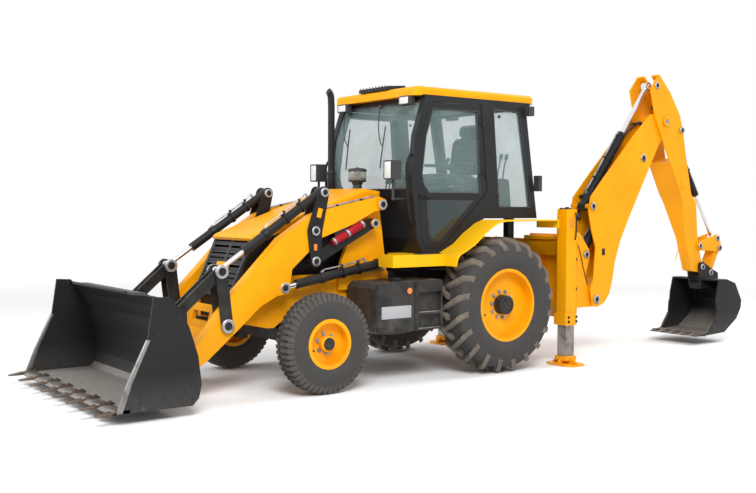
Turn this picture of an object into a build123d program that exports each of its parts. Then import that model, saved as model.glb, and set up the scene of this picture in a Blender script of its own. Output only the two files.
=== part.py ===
"""A backhoe loader: wheeled tractor, front loader, side-shift backhoe and two stabiliser legs.

Millimetres. +X is the front of the machine, +Y its left, +Z up. The origin is on the floor, midway
along the machine as it parks. Side profiles are drawn as (distance ahead of the rear axle, height
above the floor).
"""

import os
from math import cos, hypot, radians, sin

from build123d import *

os.makedirs("parts", exist_ok=True)

# ---------------------------------------------------------------- stance
rear_axle_x = -75.0  # rear axle, from the middle of the machine's length
wheelbase = 2170.0
rear_track = 1792.0
front_track = 1835.0
rear_axle_z = 707.0
front_axle_z = 466.0

# ---------------------------------------------------------------- fits
pin_fit = 0.1  # radial, a pin in its bore
seat_gap = 0.3  # between parts bolted face to face
slide_fit = 0.5  # between a sliding part and its guide
clear = 6.0  # between parts that pass each other

# ---------------------------------------------------------------- wheels
rear_tyre_radius = rear_axle_z
rear_tyre_width = 430.0
rear_bead_radius = 357.0
front_tyre_radius = front_axle_z
front_tyre_width = 250.0
front_bead_radius = 208.0
rim_wall = 12.0
rim_lip = 24.0

# ---------------------------------------------------------------- frame
frame_half_width = 410.0
frame_plate = 30.0
tower_plate = 45.0
tow_bore_x = 2700.0
tow_bore_radius = 20.0

# ---------------------------------------------------------------- cab
cab_half_width = 760.0
cab_wall = 45.0
door_gap = 6.0
glass = 8.0
cab_foot_z = 1250.0
cab_shelf_z = 1600.0
roof_base_z = 2842.0
roof_top_z = 2935.0
beacon_radius = 7.0

# ---------------------------------------------------------------- loader
arm_width = 110.0
arm_gap = 25.0  # between the tower and the arm
arm_y = frame_half_width + tower_plate + arm_gap + arm_width / 2
crank_plate = 14.0
arm_pivot = (1281.0, 1743.0)
link_pivot = (1363.0, 1556.0)
crank_foot = (2056.0, 1201.0)
crank_pivot = (2068.0, 1490.0)
crank_head = (1966.0, 1856.0)
lift_base = (1269.0, 1151.0)
lift_eye = (2385.0, 960.0)
lever_head = (3056.0, 1138.0)
lever_foot = (2997.0, 647.0)
bucket_hinge = (3360.0, 345.0)
bucket_ear = (3450.0, 800.0)
arm_pin_radius = 32.0
arm_collar = (64.0, 12.0)  # radius and thickness of a loader pin's collar
bucket_width = 2355.0

# ---------------------------------------------------------------- backhoe
hoe_y = 580.0  # parked at the left end of the side-shift frame
slew_x = -1360.0
boom_foot = (-1738.0, 649.0)
boom_ram_base = (-1615.0, 1173.0)
boom_ram_eye = (-2554.0, 2316.0)
dipper_ram_base = (-1663.0, 1732.0)
dipper_ram_eye = (-2760.0, 3202.0)
dipper_pivot = (-2940.0, 2771.0)
bucket_ram_base = (-3236.0, 2683.0)
hoe_bucket_hinge = (-3800.0, 956.0)
hoe_lever_foot = (-3750.0, 1230.0)
hoe_lever_ram_pin = (-4128.0, 1322.0)
hoe_lever_link_pin = (-4165.0, 1195.0)
hoe_bucket_ear = (-3990.0, 875.0)
boom_half_width = 142.0
hoe_bucket_width = 720.0

# ---------------------------------------------------------------- stabilisers
leg_x = -916.0
leg_y = 1025.0
tube_size = 155.0
tube_wall = 12.0
leg_size = 130.0


def side(y):
    """The machine's side plane at y: local x runs forward from the rear axle, local y upward."""
    return Plane(origin=(rear_axle_x, y, 0), x_dir=(1, 0, 0), z_dir=(0, -1, 0))


def both(y):
    """The same place on the left and on the right."""
    return (y, -y)


def plate(outline, y, thickness, corner=0.0, grow=0.0, mode=Mode.ADD):
    """A plate standing in the side plane, centred on y; grow takes its outline outward."""
    with BuildSketch(side(y)) as profile:
        with BuildLine():
            Polyline(*outline, close=True)
        make_face()
        if grow:
            offset(amount=grow, kind=Kind.INTERSECTION, mode=Mode.REPLACE)
        if corner:
            fillet(profile.vertices(), corner)
    extrude(profile.sketch, amount=thickness / 2, both=True, mode=mode)


def drum(centre, y, width, radius, mode=Mode.ADD):
    """A round bar or bore across the machine, centred on y."""
    with BuildSketch(side(y)) as profile:
        with Locations(centre):
            Circle(radius)
    extrude(profile.sketch, amount=width / 2, both=True, mode=mode)


def strap(bosses, y, thickness, mode=Mode.ADD):
    """A flat link wrapped round its bosses; each boss is (centre, radius)."""
    with BuildSketch(side(y)) as profile:
        for centre, radius in bosses:
            with Locations(centre):
                Circle(radius)
        make_hull()
    extrude(profile.sketch, amount=thickness / 2, both=True, mode=mode)


def block(x_range, y_range, z_range, corner=0.0, mode=Mode.ADD):
    """A box between two corners, its upright edges rounded; x is ahead of the rear axle."""
    with BuildSketch(Plane.XY.offset(z_range[0])) as profile:
        with Locations((rear_axle_x + sum(x_range) / 2, sum(y_range) / 2)):
            Rectangle(x_range[1] - x_range[0], y_range[1] - y_range[0])
        if corner:
            fillet(profile.vertices(), corner)
    extrude(profile.sketch, amount=z_range[1] - z_range[0], mode=mode)


def along(start, end, y, reach=0.0):
    """A plane across the line from start to end, reach beyond start."""
    direction = Vector(end[0] - start[0], 0, end[1] - start[1]).normalized()
    origin = Vector(rear_axle_x + start[0], y, start[1]) + direction * reach
    return Plane(origin=origin, x_dir=(0, 1, 0), z_dir=direction)


def bar(start, end, y, radius, reach, length, mode=Mode.ADD):
    """A round bar on the line from start to end."""
    with BuildSketch(along(start, end, y, reach)) as section:
        Circle(radius)
    extrude(section.sketch, amount=length, mode=mode)


def span(start, end):
    """The distance between two points of the side plane."""
    return hypot(end[0] - start[0], end[1] - start[1])


def axle_plane(x, y, z):
    """A plane through a wheel's axle: local x runs out along it, local y up from it."""
    return Plane(origin=(rear_axle_x + x, y, z), x_dir=(0, 1, 0), z_dir=(1, 0, 0))


def turned(x, y, z, outline, mode=Mode.ADD):
    """A ring or disc turned about a wheel's axle from its half section."""
    with BuildSketch(axle_plane(x, y, z)) as section:
        with BuildLine():
            Polyline(*outline, close=True)
        make_face()
    revolve(section.sketch, axis=Axis((rear_axle_x + x, y, z), (0, 1, 0)), mode=mode)


# ================================================================ wheels
def tyre_section(radius, width, bead):
    """Half section of a tyre, out along the axle and up to the tread."""
    height = radius - bead
    half = [
        (0.39 * width, bead),
        (0.39 * width, bead + rim_lip + 4),
        (0.5 * width, bead + 0.5 * height),
        (0.47 * width, radius - 0.14 * height),
        (0.4 * width, radius - 0.02 * height),
        (0.2 * width, radius),
    ]
    return half + [(-out, up) for out, up in reversed(half)]


def rim_section(width, bead, disc_out, hub_radius, hub_out, bore, bore_depth, sign):
    """Half section of a rim with its disc and hub; sign is +1 on the left wheels."""
    seat = bead - seat_gap
    edge = 0.39 * width + seat_gap
    wall = rim_wall
    outline = [
        (edge + wall, bead + rim_lip),
        (edge, bead + rim_lip),
        (edge, seat),
        (-edge, seat),
        (-edge, bead + rim_lip),
        (-edge - wall, bead + rim_lip),
        (-edge - wall, seat - wall),
        (disc_out - wall, seat - wall),
        (disc_out - wall, bore),
        (disc_out - wall + bore_depth, bore),
        (disc_out - wall + bore_depth, 0),
        (hub_out, 0),
        (hub_out, hub_radius * 0.8),
        (hub_out - 20, hub_radius),
        (disc_out, hub_radius),
        (disc_out, seat - wall),
        (edge + wall, seat - wall),
    ]
    return [(sign * out, up) for out, up in outline]


# columns: name, ahead of the rear axle, sideways, height, tyre radius, tyre width, bead radius,
#          disc out, hub radius, hub out, stub radius, stub depth
wheel_table = [
    ("rear", 0.0, rear_track / 2, rear_axle_z, rear_tyre_radius, rear_tyre_width,
     rear_bead_radius, 70.0, 95.0, 165.0, 60.0, 50.0),
    ("front", wheelbase, front_track / 2, front_axle_z, front_tyre_radius, front_tyre_width,
     front_bead_radius, 20.0, 75.0, 95.0, 32.0, 60.0),
]
for (axle, x, y, z, radius, width, bead, disc_out, hub_radius, hub_out, stub, depth) in wheel_table:
    for hand, sign in (("left", 1), ("right", -1)):
        with BuildPart() as tyre:
            turned(x, sign * y, z, tyre_section(radius, width, bead))
        tyre.part.label = f"{axle}_{hand}_tyre"
        export_step(tyre.part, f"parts/{axle}_{hand}_tyre.step")

        with BuildPart() as rim:
            turned(x, sign * y, z, rim_section(width, bead, disc_out, hub_radius, hub_out,
                                               stub + pin_fit, depth + seat_gap, sign))
        rim.part.label = f"{axle}_{hand}_rim"
        export_step(rim.part, f"parts/{axle}_{hand}_rim.step")

rear_stub = wheel_table[0][10:]
front_stub = wheel_table[1][10:]

# ================================================================ axles and knuckles
frame_y = frame_half_width - frame_plate / 2
rear_disc_y = rear_track / 2 + wheel_table[0][7] - rim_wall
front_disc_y = front_track / 2 + wheel_table[1][7] - rim_wall
kingpin_y = 735.0
kingpin_radius = 24.0
kingpin_reach = 95.0
knuckle_radius = 48.0

beam_half = 55.0
with BuildPart() as axles:
    drum((0, rear_axle_z), 0, 2 * (rear_disc_y - 60), 85)
    drum((0, rear_axle_z), 0, 320, 190)
    for y in both(rear_disc_y - 60 - 55):
        drum((0, rear_axle_z), y, 110, 130)
    drum((0, rear_axle_z), 0, 2 * (rear_disc_y + rear_stub[1]), rear_stub[0])
    for y in both(frame_y):
        block((-90, 90), (y - 55, y + 55), (rear_axle_z + 40, rear_axle_z + 123 - seat_gap), 10)
    block((wheelbase - beam_half, wheelbase + beam_half), (-640, 640),
          (front_axle_z - 60, front_axle_z + 60), 20)
    for sign in (1, -1):
        for z in (front_axle_z - kingpin_reach - 25, front_axle_z + kingpin_reach):
            block((wheelbase - 45, wheelbase + 45), tuple(sorted((sign * 600, sign * 780))),
                  (z, z + 25), 20)
        block((wheelbase - 45, wheelbase + 45), tuple(sorted((sign * 600, sign * 660))),
              (front_axle_z - kingpin_reach - 25, front_axle_z + kingpin_reach + 25), 10)
        with BuildSketch(Plane.XY.offset(front_axle_z - kingpin_reach - 25)) as pin:
            with Locations((rear_axle_x + wheelbase, sign * kingpin_y)):
                Circle(kingpin_radius)
        extrude(pin.sketch, amount=2 * kingpin_reach + 50)
axles.part.label = "axles"
export_step(axles.part, "parts/axles.step")

for hand, sign in (("left", 1), ("right", -1)):
    with BuildPart() as knuckle:
        with BuildSketch(Plane.XY.offset(front_axle_z - kingpin_reach + slide_fit)) as boss:
            with Locations((rear_axle_x + wheelbase, sign * kingpin_y)):
                Circle(knuckle_radius)
        extrude(boss.sketch, amount=2 * (kingpin_reach - slide_fit))
        stub_length = front_disc_y + front_stub[1] - kingpin_y
        drum((wheelbase, front_axle_z), sign * (kingpin_y + stub_length / 2), stub_length, front_stub[0])
        drum((wheelbase, front_axle_z), sign * (kingpin_y + 60), 60, 70)
        with BuildSketch(Plane.XY.offset(front_axle_z - kingpin_reach)) as bore:
            with Locations((rear_axle_x + wheelbase, sign * kingpin_y)):
                Circle(kingpin_radius + pin_fit)
        extrude(bore.sketch, amount=2 * kingpin_reach, mode=Mode.SUBTRACT)
    knuckle.part.label = f"{hand}_knuckle"
    export_step(knuckle.part, f"parts/{hand}_knuckle.step")

# ================================================================ chassis
frame_profile = [
    (-840, 830), (-840, 1050), (1120, 1060), (1660, 1060), (2450, 1060), (2800, 860), (2800, 640),
    (2420, 560), (2300, 640), (2040, 640), (1900, 560), (520, 560), (300, 830),
]
tower_profile = [
    (1080, 900), (1120, 1125), (1205, 1730), (1255, 1830), (1330, 1830), (1400, 1760),
    (1661, 1190), (1700, 900),
]
tower_y = frame_half_width + tower_plate / 2
tower_face = frame_half_width + tower_plate
engine_foot = 740.0
hood_foot = 1560.0
arm_outer = arm_y + arm_width / 2
with BuildPart() as chassis:
    for y in both(frame_y):
        plate(frame_profile, y, frame_plate, corner=15)
    for y in both(tower_y):
        plate(tower_profile, y, tower_plate, corner=15)
    # columns: rear end, front end, underside, top
    for rear, front, low, high in [
        (-820, -700, 850, 1030),
        (1150, 1300, 600, 760),
        (1180, 1300, 880, 1040),
        (wheelbase - 110, wheelbase + 110, 640, engine_foot),
        (2440, 2780, 650, 850),
    ]:
        block((rear, front), (-frame_y, frame_y), (low, high), 5)
    block((wheelbase - 70, wheelbase + 70), (-60, 60), (front_axle_z + 60 + seat_gap, 650))
    block((1190, 1260), (-tower_face + 10, tower_face - 10), (hood_foot - 60, hood_foot - seat_gap))
    for y in both(frame_y):
        for rear, front, high in ((540, 640, cab_foot_z), (-690, -600, cab_shelf_z)):
            block((rear, front), (y - 38, y + 38), (1000, high - seat_gap))
    with BuildSketch(Plane.XY.offset(600)) as tow_bore:
        with Locations((rear_axle_x + tow_bore_x, 0)):
            Circle(tow_bore_radius)
    extrude(tow_bore.sketch, amount=300, mode=Mode.SUBTRACT)
    # columns: pivot, pin radius, how far out it reaches
    for pivot, radius, reach in [
        (arm_pivot, 40, arm_outer + 20),
        (link_pivot, 30, arm_outer + 10),
        (lift_base, 32, arm_outer + 10),
    ]:
        for sign in (1, -1):
            drum(pivot, sign * (tower_y + reach) / 2, reach - tower_y, radius)
            drum(pivot, sign * (reach + 6), 12, radius + 14)
            drum(pivot, sign * (tower_face + 6), 12, radius + 22)
chassis.part.label = "chassis"
export_step(chassis.part, "parts/chassis.step")

with BuildPart() as engine_block:
    block((1480, wheelbase + 90), (-270, 270), (engine_foot + seat_gap, 1400), 40)
engine_block.part.label = "engine_block"
export_step(engine_block.part, "parts/engine_block.step")

# ================================================================ hood and nose
hood_half_width = frame_half_width - 15
hood_profile = [
    (1135, hood_foot), (1135, 1880), (1330, 1905), (2610, 1455), (2640, 1420), (2625, 1395),
    (1950, hood_foot),
]
with BuildPart() as hood:
    plate(hood_profile, 0, 2 * hood_half_width)
    fillet(hood.edges().filter_by(Axis.Y, reverse=True).sort_by(Axis.Z)[-6:], 40)
hood.part.label = "hood"
export_step(hood.part, "parts/hood.step")

grille_slots = 9
with BuildPart() as grille:
    plate([(2330, 1055), (2330, 1480), (2612, 1410), (2845, 880), (2795, 855), (2440, 1050)],
          0, 2 * (hood_half_width - 5))
    for index in range(grille_slots):
        share = (index + 0.5) / grille_slots
        foot, head = (2845 - share * 233, 880 + share * 530), (2835 - share * 233, 900 + share * 530)
        for y in both(hood_half_width / 2 - 10):
            plate([foot, (foot[0] - 40, foot[1] - 18), (head[0] - 40, head[1] - 18), head], y,
                  hood_half_width - 60, grow=2, mode=Mode.SUBTRACT)
    plate(hood_profile, 0, 2 * hood_half_width + 10, grow=seat_gap, mode=Mode.SUBTRACT)
    plate(frame_profile, 0, 2 * frame_half_width, grow=seat_gap, mode=Mode.SUBTRACT)
grille.part.label = "grille"
export_step(grille.part, "parts/grille.step")

with BuildPart() as exhaust_stack:
    with BuildSketch(Plane.XY.offset(1850)) as pipe:
        with Locations((rear_axle_x + 1260, -340)):
            Circle(38)
    extrude(pipe.sketch, amount=1050)
    bar((1260, 2880), (1300, 2965), -340, 38, -5, 85)
    plate(hood_profile, 0, 2 * hood_half_width, grow=seat_gap, mode=Mode.SUBTRACT)
exhaust_stack.part.label = "exhaust_stack"
export_step(exhaust_stack.part, "parts/exhaust_stack.step")

with BuildPart() as air_precleaner:
    with BuildSketch(Plane.XY.offset(1850)) as neck:
        with Locations((rear_axle_x + 1220, 90)):
            Circle(45)
    extrude(neck.sketch, amount=135)
    plate(hood_profile, 0, 2 * hood_half_width, grow=seat_gap, mode=Mode.SUBTRACT)
    with BuildSketch(Plane.XY.offset(1980)) as bowl:
        with Locations((rear_axle_x + 1220, 90)):
            Circle(95)
    extrude(bowl.sketch, amount=140)
air_precleaner.part.label = "air_precleaner"
export_step(air_precleaner.part, "parts/air_precleaner.step")

tank_outer = 930.0
with BuildPart() as side_tanks:
    for y in both((tank_outer + tower_face + seat_gap) / 2):
        plate([(760, 505), (760, 1000), (1540, 985), (1595, 930), (1595, 505)], y,
              tank_outer - tower_face - seat_gap, corner=30)
    for sign in (1, -1):
        for low, high in ((520, 660), (680, 880)):
            block((780, 1060), tuple(sorted((sign * (tank_outer - 45), sign * (tank_outer + 5)))),
                  (low, high), mode=Mode.SUBTRACT)
        with BuildSketch(Plane.XY.offset(960)) as filler:
            with Locations((rear_axle_x + 1250, sign * 800)):
                Circle(50)
        extrude(filler.sketch, amount=65)
side_tanks.part.label = "side_tanks"
export_step(side_tanks.part, "parts/side_tanks.step")

# ================================================================ fenders
fender_wall = 12.0
fender_outer = 1085.0
fender_inner = cab_half_width + seat_gap
fender_top = [
    (720, 1130), (705, 1235), (600, 1285), (480, 1345), (350, 1450), (195, 1548), (90, 1588),
    (-730, 1588), (-730, 1500),
]
fender_under = [
    (-718, 1500), (-718, 1576), (88, 1576), (189, 1537), (342, 1440), (473, 1334), (595, 1273),
    (694, 1225), (708, 1130),
]
platform_z = (1130.0, 1249.0)
with BuildPart() as fenders:
    for y in both((fender_outer + fender_inner) / 2):
        plate(fender_top + fender_under, y, fender_outer - fender_inner)
    for sign in (1, -1):
        for front, inner in ((1060, frame_half_width + seat_gap), (1360, 660)):
            block((700, front), tuple(sorted((sign * inner, sign * 900))), platform_z)
fenders.part.label = "fenders"
export_step(fenders.part, "parts/fenders.step")

# ================================================================ cab
cab_profile = [
    (-720, cab_shelf_z), (60, cab_shelf_z), (470, cab_foot_z), (890, cab_foot_z), (955, 1400),
    (1030, 2040), (980, 2450),
    (850, roof_base_z), (-530, roof_base_z),
]
door_opening = [
    (105, 2785), (790, 2785), (912, 2440), (962, 2040), (895, 1400), (850, 1300), (640, 1300),
    (60, 1830), (12, 1900),
]
door_hinge = ((18.0, 1900.0), (111.0, 2785.0))
hinge_y = cab_half_width + 5
hinge_pin = 6.0
hinge_radius = 12.0
hinge_length = 60.0
hinge_reaches = (150.0, 690.0)
door_window = [(160, 2715), (755, 2715), (845, 2430), (893, 2050), (870, 1950), (800, 1865), (110, 1865)]
quarter_window = [(-60, 2750), (-440, 2735), (-620, 1720), (-150, 1720)]
with BuildPart() as cab_frame:
    plate(cab_profile, 0, 2 * cab_half_width)
    with BuildSketch(side(0)) as inside:
        with BuildLine():
            Polyline(*cab_profile, close=True)
        make_face()
        offset(amount=-cab_wall, kind=Kind.INTERSECTION, mode=Mode.REPLACE)
    extrude(inside.sketch, amount=cab_half_width - cab_wall, both=True, mode=Mode.SUBTRACT)
    plate(door_opening, 0, 2 * cab_half_width + 10, mode=Mode.SUBTRACT)
    plate(quarter_window, 0, 2 * cab_half_width + 10, mode=Mode.SUBTRACT)
    block((750, 1100), (-cab_half_width + 70, cab_half_width - 70), (1900, 2790), mode=Mode.SUBTRACT)
    block((-800, -400), (-cab_half_width + 90, cab_half_width - 90), (1700, 2770), mode=Mode.SUBTRACT)
    for y in both(hinge_y):
        for reach in hinge_reaches:
            bar(*door_hinge, y, hinge_radius + 2, reach - 1, hinge_length + 2, mode=Mode.SUBTRACT)
            for end in (reach - 19, reach + hinge_length + 1):
                bar(*door_hinge, y, hinge_radius, end, 18)
            bar(*door_hinge, y, hinge_pin, reach - 10, hinge_length + 20)
cab_frame.part.label = "cab_frame"
export_step(cab_frame.part, "parts/cab_frame.step")


def cab_skin(depth, thickness):
    """The cab's outer surface, taken inward by depth, as a shell of the given thickness."""
    for amount, mode in ((-depth, Mode.ADD), (-depth - thickness, Mode.SUBTRACT)):
        with BuildSketch(side(0)) as skin:
            with BuildLine():
                Polyline(*cab_profile, close=True)
            make_face()
            offset(amount=amount, kind=Kind.INTERSECTION, mode=Mode.REPLACE)
        extrude(skin.sketch, amount=cab_half_width + amount, both=True, mode=mode)


with BuildPart() as window_cuts:
    with BuildSketch(side(0)) as quarter:
        with BuildLine():
            Polyline(*quarter_window, close=True)
        make_face()
        offset(amount=-seat_gap, kind=Kind.INTERSECTION, mode=Mode.REPLACE)
    extrude(quarter.sketch, amount=2 * cab_half_width, both=True)
    block((750, 1100), (-cab_half_width + 70.5, cab_half_width - 70.5), (1900.5, 2789.5))
    block((-800, -400), (-cab_half_width + 90.5, cab_half_width - 90.5), (1700.5, 2769.5))
with BuildPart() as cab_glass:
    cab_skin(18, glass)
    add(window_cuts.part, mode=Mode.INTERSECT)
cab_glass.part.label = "cab_glass"
export_step(cab_glass.part, "parts/cab_glass.step")

with BuildPart() as cab_roof:
    block((-690, 950), (20 - cab_half_width, cab_half_width - 20), (roof_base_z + seat_gap, roof_top_z),
          60)
    fillet(cab_roof.faces().sort_by(Axis.Z)[-1].edges(), 35)
    with BuildSketch(Plane.XY.offset(roof_base_z)) as beacon_bore:
        with Locations((rear_axle_x - 500, cab_half_width - 220)):
            Circle(beacon_radius)
    extrude(beacon_bore.sketch, amount=120, mode=Mode.SUBTRACT)
cab_roof.part.label = "cab_roof"
export_step(cab_roof.part, "parts/cab_roof.step")

with BuildPart() as roof_vent:
    plate([(700, roof_top_z + seat_gap), (705, 2972), (740, 2990), (955, 2972),
           (960, roof_top_z + seat_gap)], 0, 520)
roof_vent.part.label = "roof_vent"
export_step(roof_vent.part, "parts/roof_vent.step")

door_thickness = 40.0
door_y = cab_half_width - 5 - door_thickness / 2
for hand, sign in (("left", 1), ("right", -1)):
    with BuildPart() as door:
        with BuildSketch(side(sign * door_y)) as leaf:
            with BuildLine():
                Polyline(*door_opening, close=True)
            make_face()
            offset(amount=-door_gap, kind=Kind.INTERSECTION, mode=Mode.REPLACE)
        extrude(leaf.sketch, amount=door_thickness / 2, both=True)
        plate(door_window, sign * door_y, 2 * door_thickness, mode=Mode.SUBTRACT)
        for reach in hinge_reaches:
            bar(*door_hinge, sign * hinge_y, hinge_radius + 2, reach - 21, hinge_length + 42,
                mode=Mode.SUBTRACT)
            bar(*door_hinge, sign * hinge_y, hinge_radius, reach, hinge_length)
            with BuildSketch(along(*door_hinge, sign * hinge_y, reach)) as leaf:
                with Locations((-sign * 7, -28)):
                    Rectangle(10, 44)
            extrude(leaf.sketch, amount=hinge_length)
            bar(*door_hinge, sign * hinge_y, hinge_pin + pin_fit, reach - 1, hinge_length + 2,
                mode=Mode.SUBTRACT)
    door.part.label = f"{hand}_door"
    export_step(door.part, f"parts/{hand}_door.step")

    with BuildPart() as pane:
        with BuildSketch(side(sign * door_y)) as light:
            with BuildLine():
                Polyline(*door_window, close=True)
            make_face()
            offset(amount=-seat_gap, kind=Kind.INTERSECTION, mode=Mode.REPLACE)
        extrude(light.sketch, amount=glass / 2, both=True)
    pane.part.label = f"{hand}_door_glass"
    export_step(pane.part, f"parts/{hand}_door_glass.step")

cab_floor_z = cab_shelf_z + cab_wall
with BuildPart() as seat:
    block((-330, 170), (-250, 250), (1980, 2090), 50)
    plate([(-330, 2060), (-430, 2620), (-330, 2640), (-210, 2060)], 0, 440, corner=20)
    block((-230, 60), (-160, 160), (cab_floor_z + seat_gap, 1980), 30)
seat.part.label = "seat"
export_step(seat.part, "parts/seat.step")

with BuildPart() as controls:
    bar((740, 1380), (560, 2120), 0, 45, 0, span((740, 1380), (560, 2120)))
    with BuildSketch(along((740, 1380), (560, 2120), 0, 760)) as wheel:
        Circle(190)
        Circle(165, mode=Mode.SUBTRACT)
        Rectangle(340, 30)
    extrude(wheel.sketch, amount=25)
    block((600, 830), (-200, 200), (1295 + seat_gap, 1420), 20)
    for y in both(550):
        block((-450, 250), (y - 105, y + 105), (cab_floor_z + seat_gap, 2030), 40)
controls.part.label = "controls"
export_step(controls.part, "parts/controls.step")

# columns: ahead of the rear axle, sideways, height, length, width, height of the lamp
stalk_y = cab_half_width - 80
lamp_table = [
    (1199.0, stalk_y, 2086.0, 130.0, 130.0, 190.0),
    (930.0, cab_half_width - 202, roof_base_z - 45, 90.0, 170.0, 90.0),
    (-640.0, cab_half_width - 160, roof_base_z - 45, 90.0, 140.0, 90.0),
]
with BuildPart() as lamps:
    for x, y, z, length, width, height in lamp_table:
        for sign in (1, -1):
            block((x - length / 2, x + length / 2), (sign * y - width / 2, sign * y + width / 2),
                  (z - height / 2, z + height / 2), 20)
    for y in both(stalk_y):
        bar((1199, 1800), (1199, 2000), y, 14, -14, 220)
        bar((980, 1800), (1199, 1800), y, 11, 0, 219)
    plate(cab_profile, 0, 2 * cab_half_width, grow=seat_gap, mode=Mode.SUBTRACT)
    for rear, front, low, high in ((-711, -661, 1894, 2064), (-582, -507, 2705, 2805)):
        for sign in (1, -1):
            block((rear, front), tuple(sorted((sign * (cab_half_width + seat_gap),
                                               sign * (cab_half_width + 90)))), (low, high), 8)
lamps.part.label = "lamps"
export_step(lamps.part, "parts/lamps.step")

# ================================================================ loader
arm_profile = [
    (1215, 1700), (1215, 1790), (1300, 1822), (1930, 1695), (2095, 1640), (2430, 1430), (2975, 880),
    (3275, 500), (3430, 390), (3420, 290), (3330, 265), (3200, 335), (2844, 631), (2650, 800),
    (2470, 890), (2345, 905), (2310, 1133), (2121, 1296), (1985, 1421), (1610, 1552), (1360, 1675),
]
crank_outer = arm_width / 2 + clear + crank_plate / 2
arm_pin_reach = crank_outer + crank_plate / 2
with BuildPart() as loader_arms:
    for y in both(arm_y):
        plate(arm_profile, y, arm_width, corner=18)
        drum(arm_pivot, y, 2 * arm_width, 40 + pin_fit, mode=Mode.SUBTRACT)
        drum(crank_pivot, y, 2 * (arm_pin_reach + 12), arm_pin_radius)
        for centre in (lever_foot, bucket_hinge):
            drum(centre, y, 2 * arm_width, arm_pin_radius + pin_fit, mode=Mode.SUBTRACT)
        strap([(lift_eye, 130), ((2250, 985), 130)], y, arm_width - 40, mode=Mode.SUBTRACT)
    strap([((2985, 548), 30), ((3090, 462), 30)], 0, 2 * (arm_y - arm_width / 2 + 5))
    plate([(3080, 440), (2960, 545), (2900, 790), (2935, 800), (3000, 570)], 0, 860)
    block((2860, 3010), (-170, 170), (640, 730), mode=Mode.SUBTRACT)
loader_arms.part.label = "loader_arms"
export_step(loader_arms.part, "parts/loader_arms.step")

with BuildPart() as bell_cranks:
    for y in both(arm_y):
        for offset_y in both(crank_outer):
            strap([(crank_head, 58), (crank_pivot, 80)], y + offset_y, crank_plate)
            strap([(crank_foot, 58), (crank_pivot, 80)], y + offset_y, crank_plate)
        drum(crank_pivot, y, 4 * arm_width, arm_pin_radius + pin_fit, mode=Mode.SUBTRACT)
        drum(crank_head, y, 4 * arm_width, arm_pin_radius + pin_fit, mode=Mode.SUBTRACT)
bell_cranks.part.label = "bell_cranks"
export_step(bell_cranks.part, "parts/bell_cranks.step")

with BuildPart() as crank_pins:
    for y in both(arm_y):
        drum(crank_head, y, 2 * (arm_pin_reach + 12), arm_pin_radius)
        for offset_y in both(arm_pin_reach + 6 + seat_gap):
            drum(crank_head, y + offset_y, 12, arm_pin_radius + 14)
crank_pins.part.label = "crank_pins"
export_step(crank_pins.part, "parts/crank_pins.step")

with BuildPart() as levelling_links:
    for y in both(arm_y):
        strap([(link_pivot, 48), (crank_foot, 48)], y, 70)
        drum(link_pivot, y, 200, 30 + pin_fit, mode=Mode.SUBTRACT)
levelling_links.part.label = "levelling_links"
export_step(levelling_links.part, "parts/levelling_links.step")

lift_length = span(lift_base, lift_eye)
with BuildPart() as lift_barrels:
    for y in both(arm_y):
        drum(lift_base, y, 76, 52)
        bar(lift_base, lift_eye, y, 45, 0, lift_length - 150)
        drum(lift_base, y, 200, 32 + pin_fit, mode=Mode.SUBTRACT)
        bar(lift_base, lift_eye, y, 27 + pin_fit, 60, lift_length, mode=Mode.SUBTRACT)
lift_barrels.part.label = "lift_barrels"
export_step(lift_barrels.part, "parts/lift_barrels.step")

with BuildPart() as lift_rods:
    for y in both(arm_y):
        bar(lift_base, lift_eye, y, 27, 110, lift_length - 110)
        drum(lift_eye, y, 58, 48)
        drum(lift_eye, y, 66, 30, mode=Mode.SUBTRACT)
lift_rods.part.label = "lift_rods"
export_step(lift_rods.part, "parts/lift_rods.step")

tilt_length = span(crank_head, lever_head)
with BuildPart() as tilt_barrels:
    for y in both(arm_y):
        drum(crank_head, y, 76, 50)
        bar(crank_head, lever_head, y, 43, 0, tilt_length - 308)
        drum(crank_head, y, 200, arm_pin_radius + pin_fit, mode=Mode.SUBTRACT)
        bar(crank_head, lever_head, y, 23 + pin_fit, 55, tilt_length, mode=Mode.SUBTRACT)
tilt_barrels.part.label = "tilt_barrels"
export_step(tilt_barrels.part, "parts/tilt_barrels.step")

with BuildPart() as tilt_rods:
    for y in both(arm_y):
        bar(crank_head, lever_head, y, 23, 330, tilt_length - 330)
        drum(lever_head, y, 50, 46)
        drum(lever_head, y, 60, 30, mode=Mode.SUBTRACT)
tilt_rods.part.label = "tilt_rods"
export_step(tilt_rods.part, "parts/tilt_rods.step")

with BuildPart() as tipping_levers:
    for y in both(arm_y):
        for offset_y in both(crank_outer):
            strap([(lever_head, 58), (lever_foot, 58)], y + offset_y, crank_plate)
        for centre in (lever_head, lever_foot):
            drum(centre, y, 4 * arm_width, arm_pin_radius + pin_fit, mode=Mode.SUBTRACT)
tipping_levers.part.label = "tipping_levers"
export_step(tipping_levers.part, "parts/tipping_levers.step")

with BuildPart() as lever_pins:
    for y in both(arm_y):
        drum(lever_foot, y, 2 * (arm_pin_reach + arm_collar[1]), arm_pin_radius)
        for offset_y in both(arm_pin_reach + arm_collar[1] / 2 + seat_gap):
            drum(lever_foot, y + offset_y, arm_collar[1], arm_collar[0])
lever_pins.part.label = "lever_pins"
export_step(lever_pins.part, "parts/lever_pins.step")

tine_y = arm_width / 2 - 9
with BuildPart() as tipping_pins:
    for y in both(arm_y):
        for sign in (1, -1):
            inner, outer = tine_y - 11, arm_pin_reach + arm_collar[1]
            drum(lever_head, y + sign * (inner + outer) / 2, outer - inner, arm_pin_radius)
            drum(lever_head, y + sign * (arm_pin_reach + arm_collar[1] / 2 + seat_gap), arm_collar[1],
                 arm_collar[0])
tipping_pins.part.label = "tipping_pins"
export_step(tipping_pins.part, "parts/tipping_pins.step")

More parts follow.
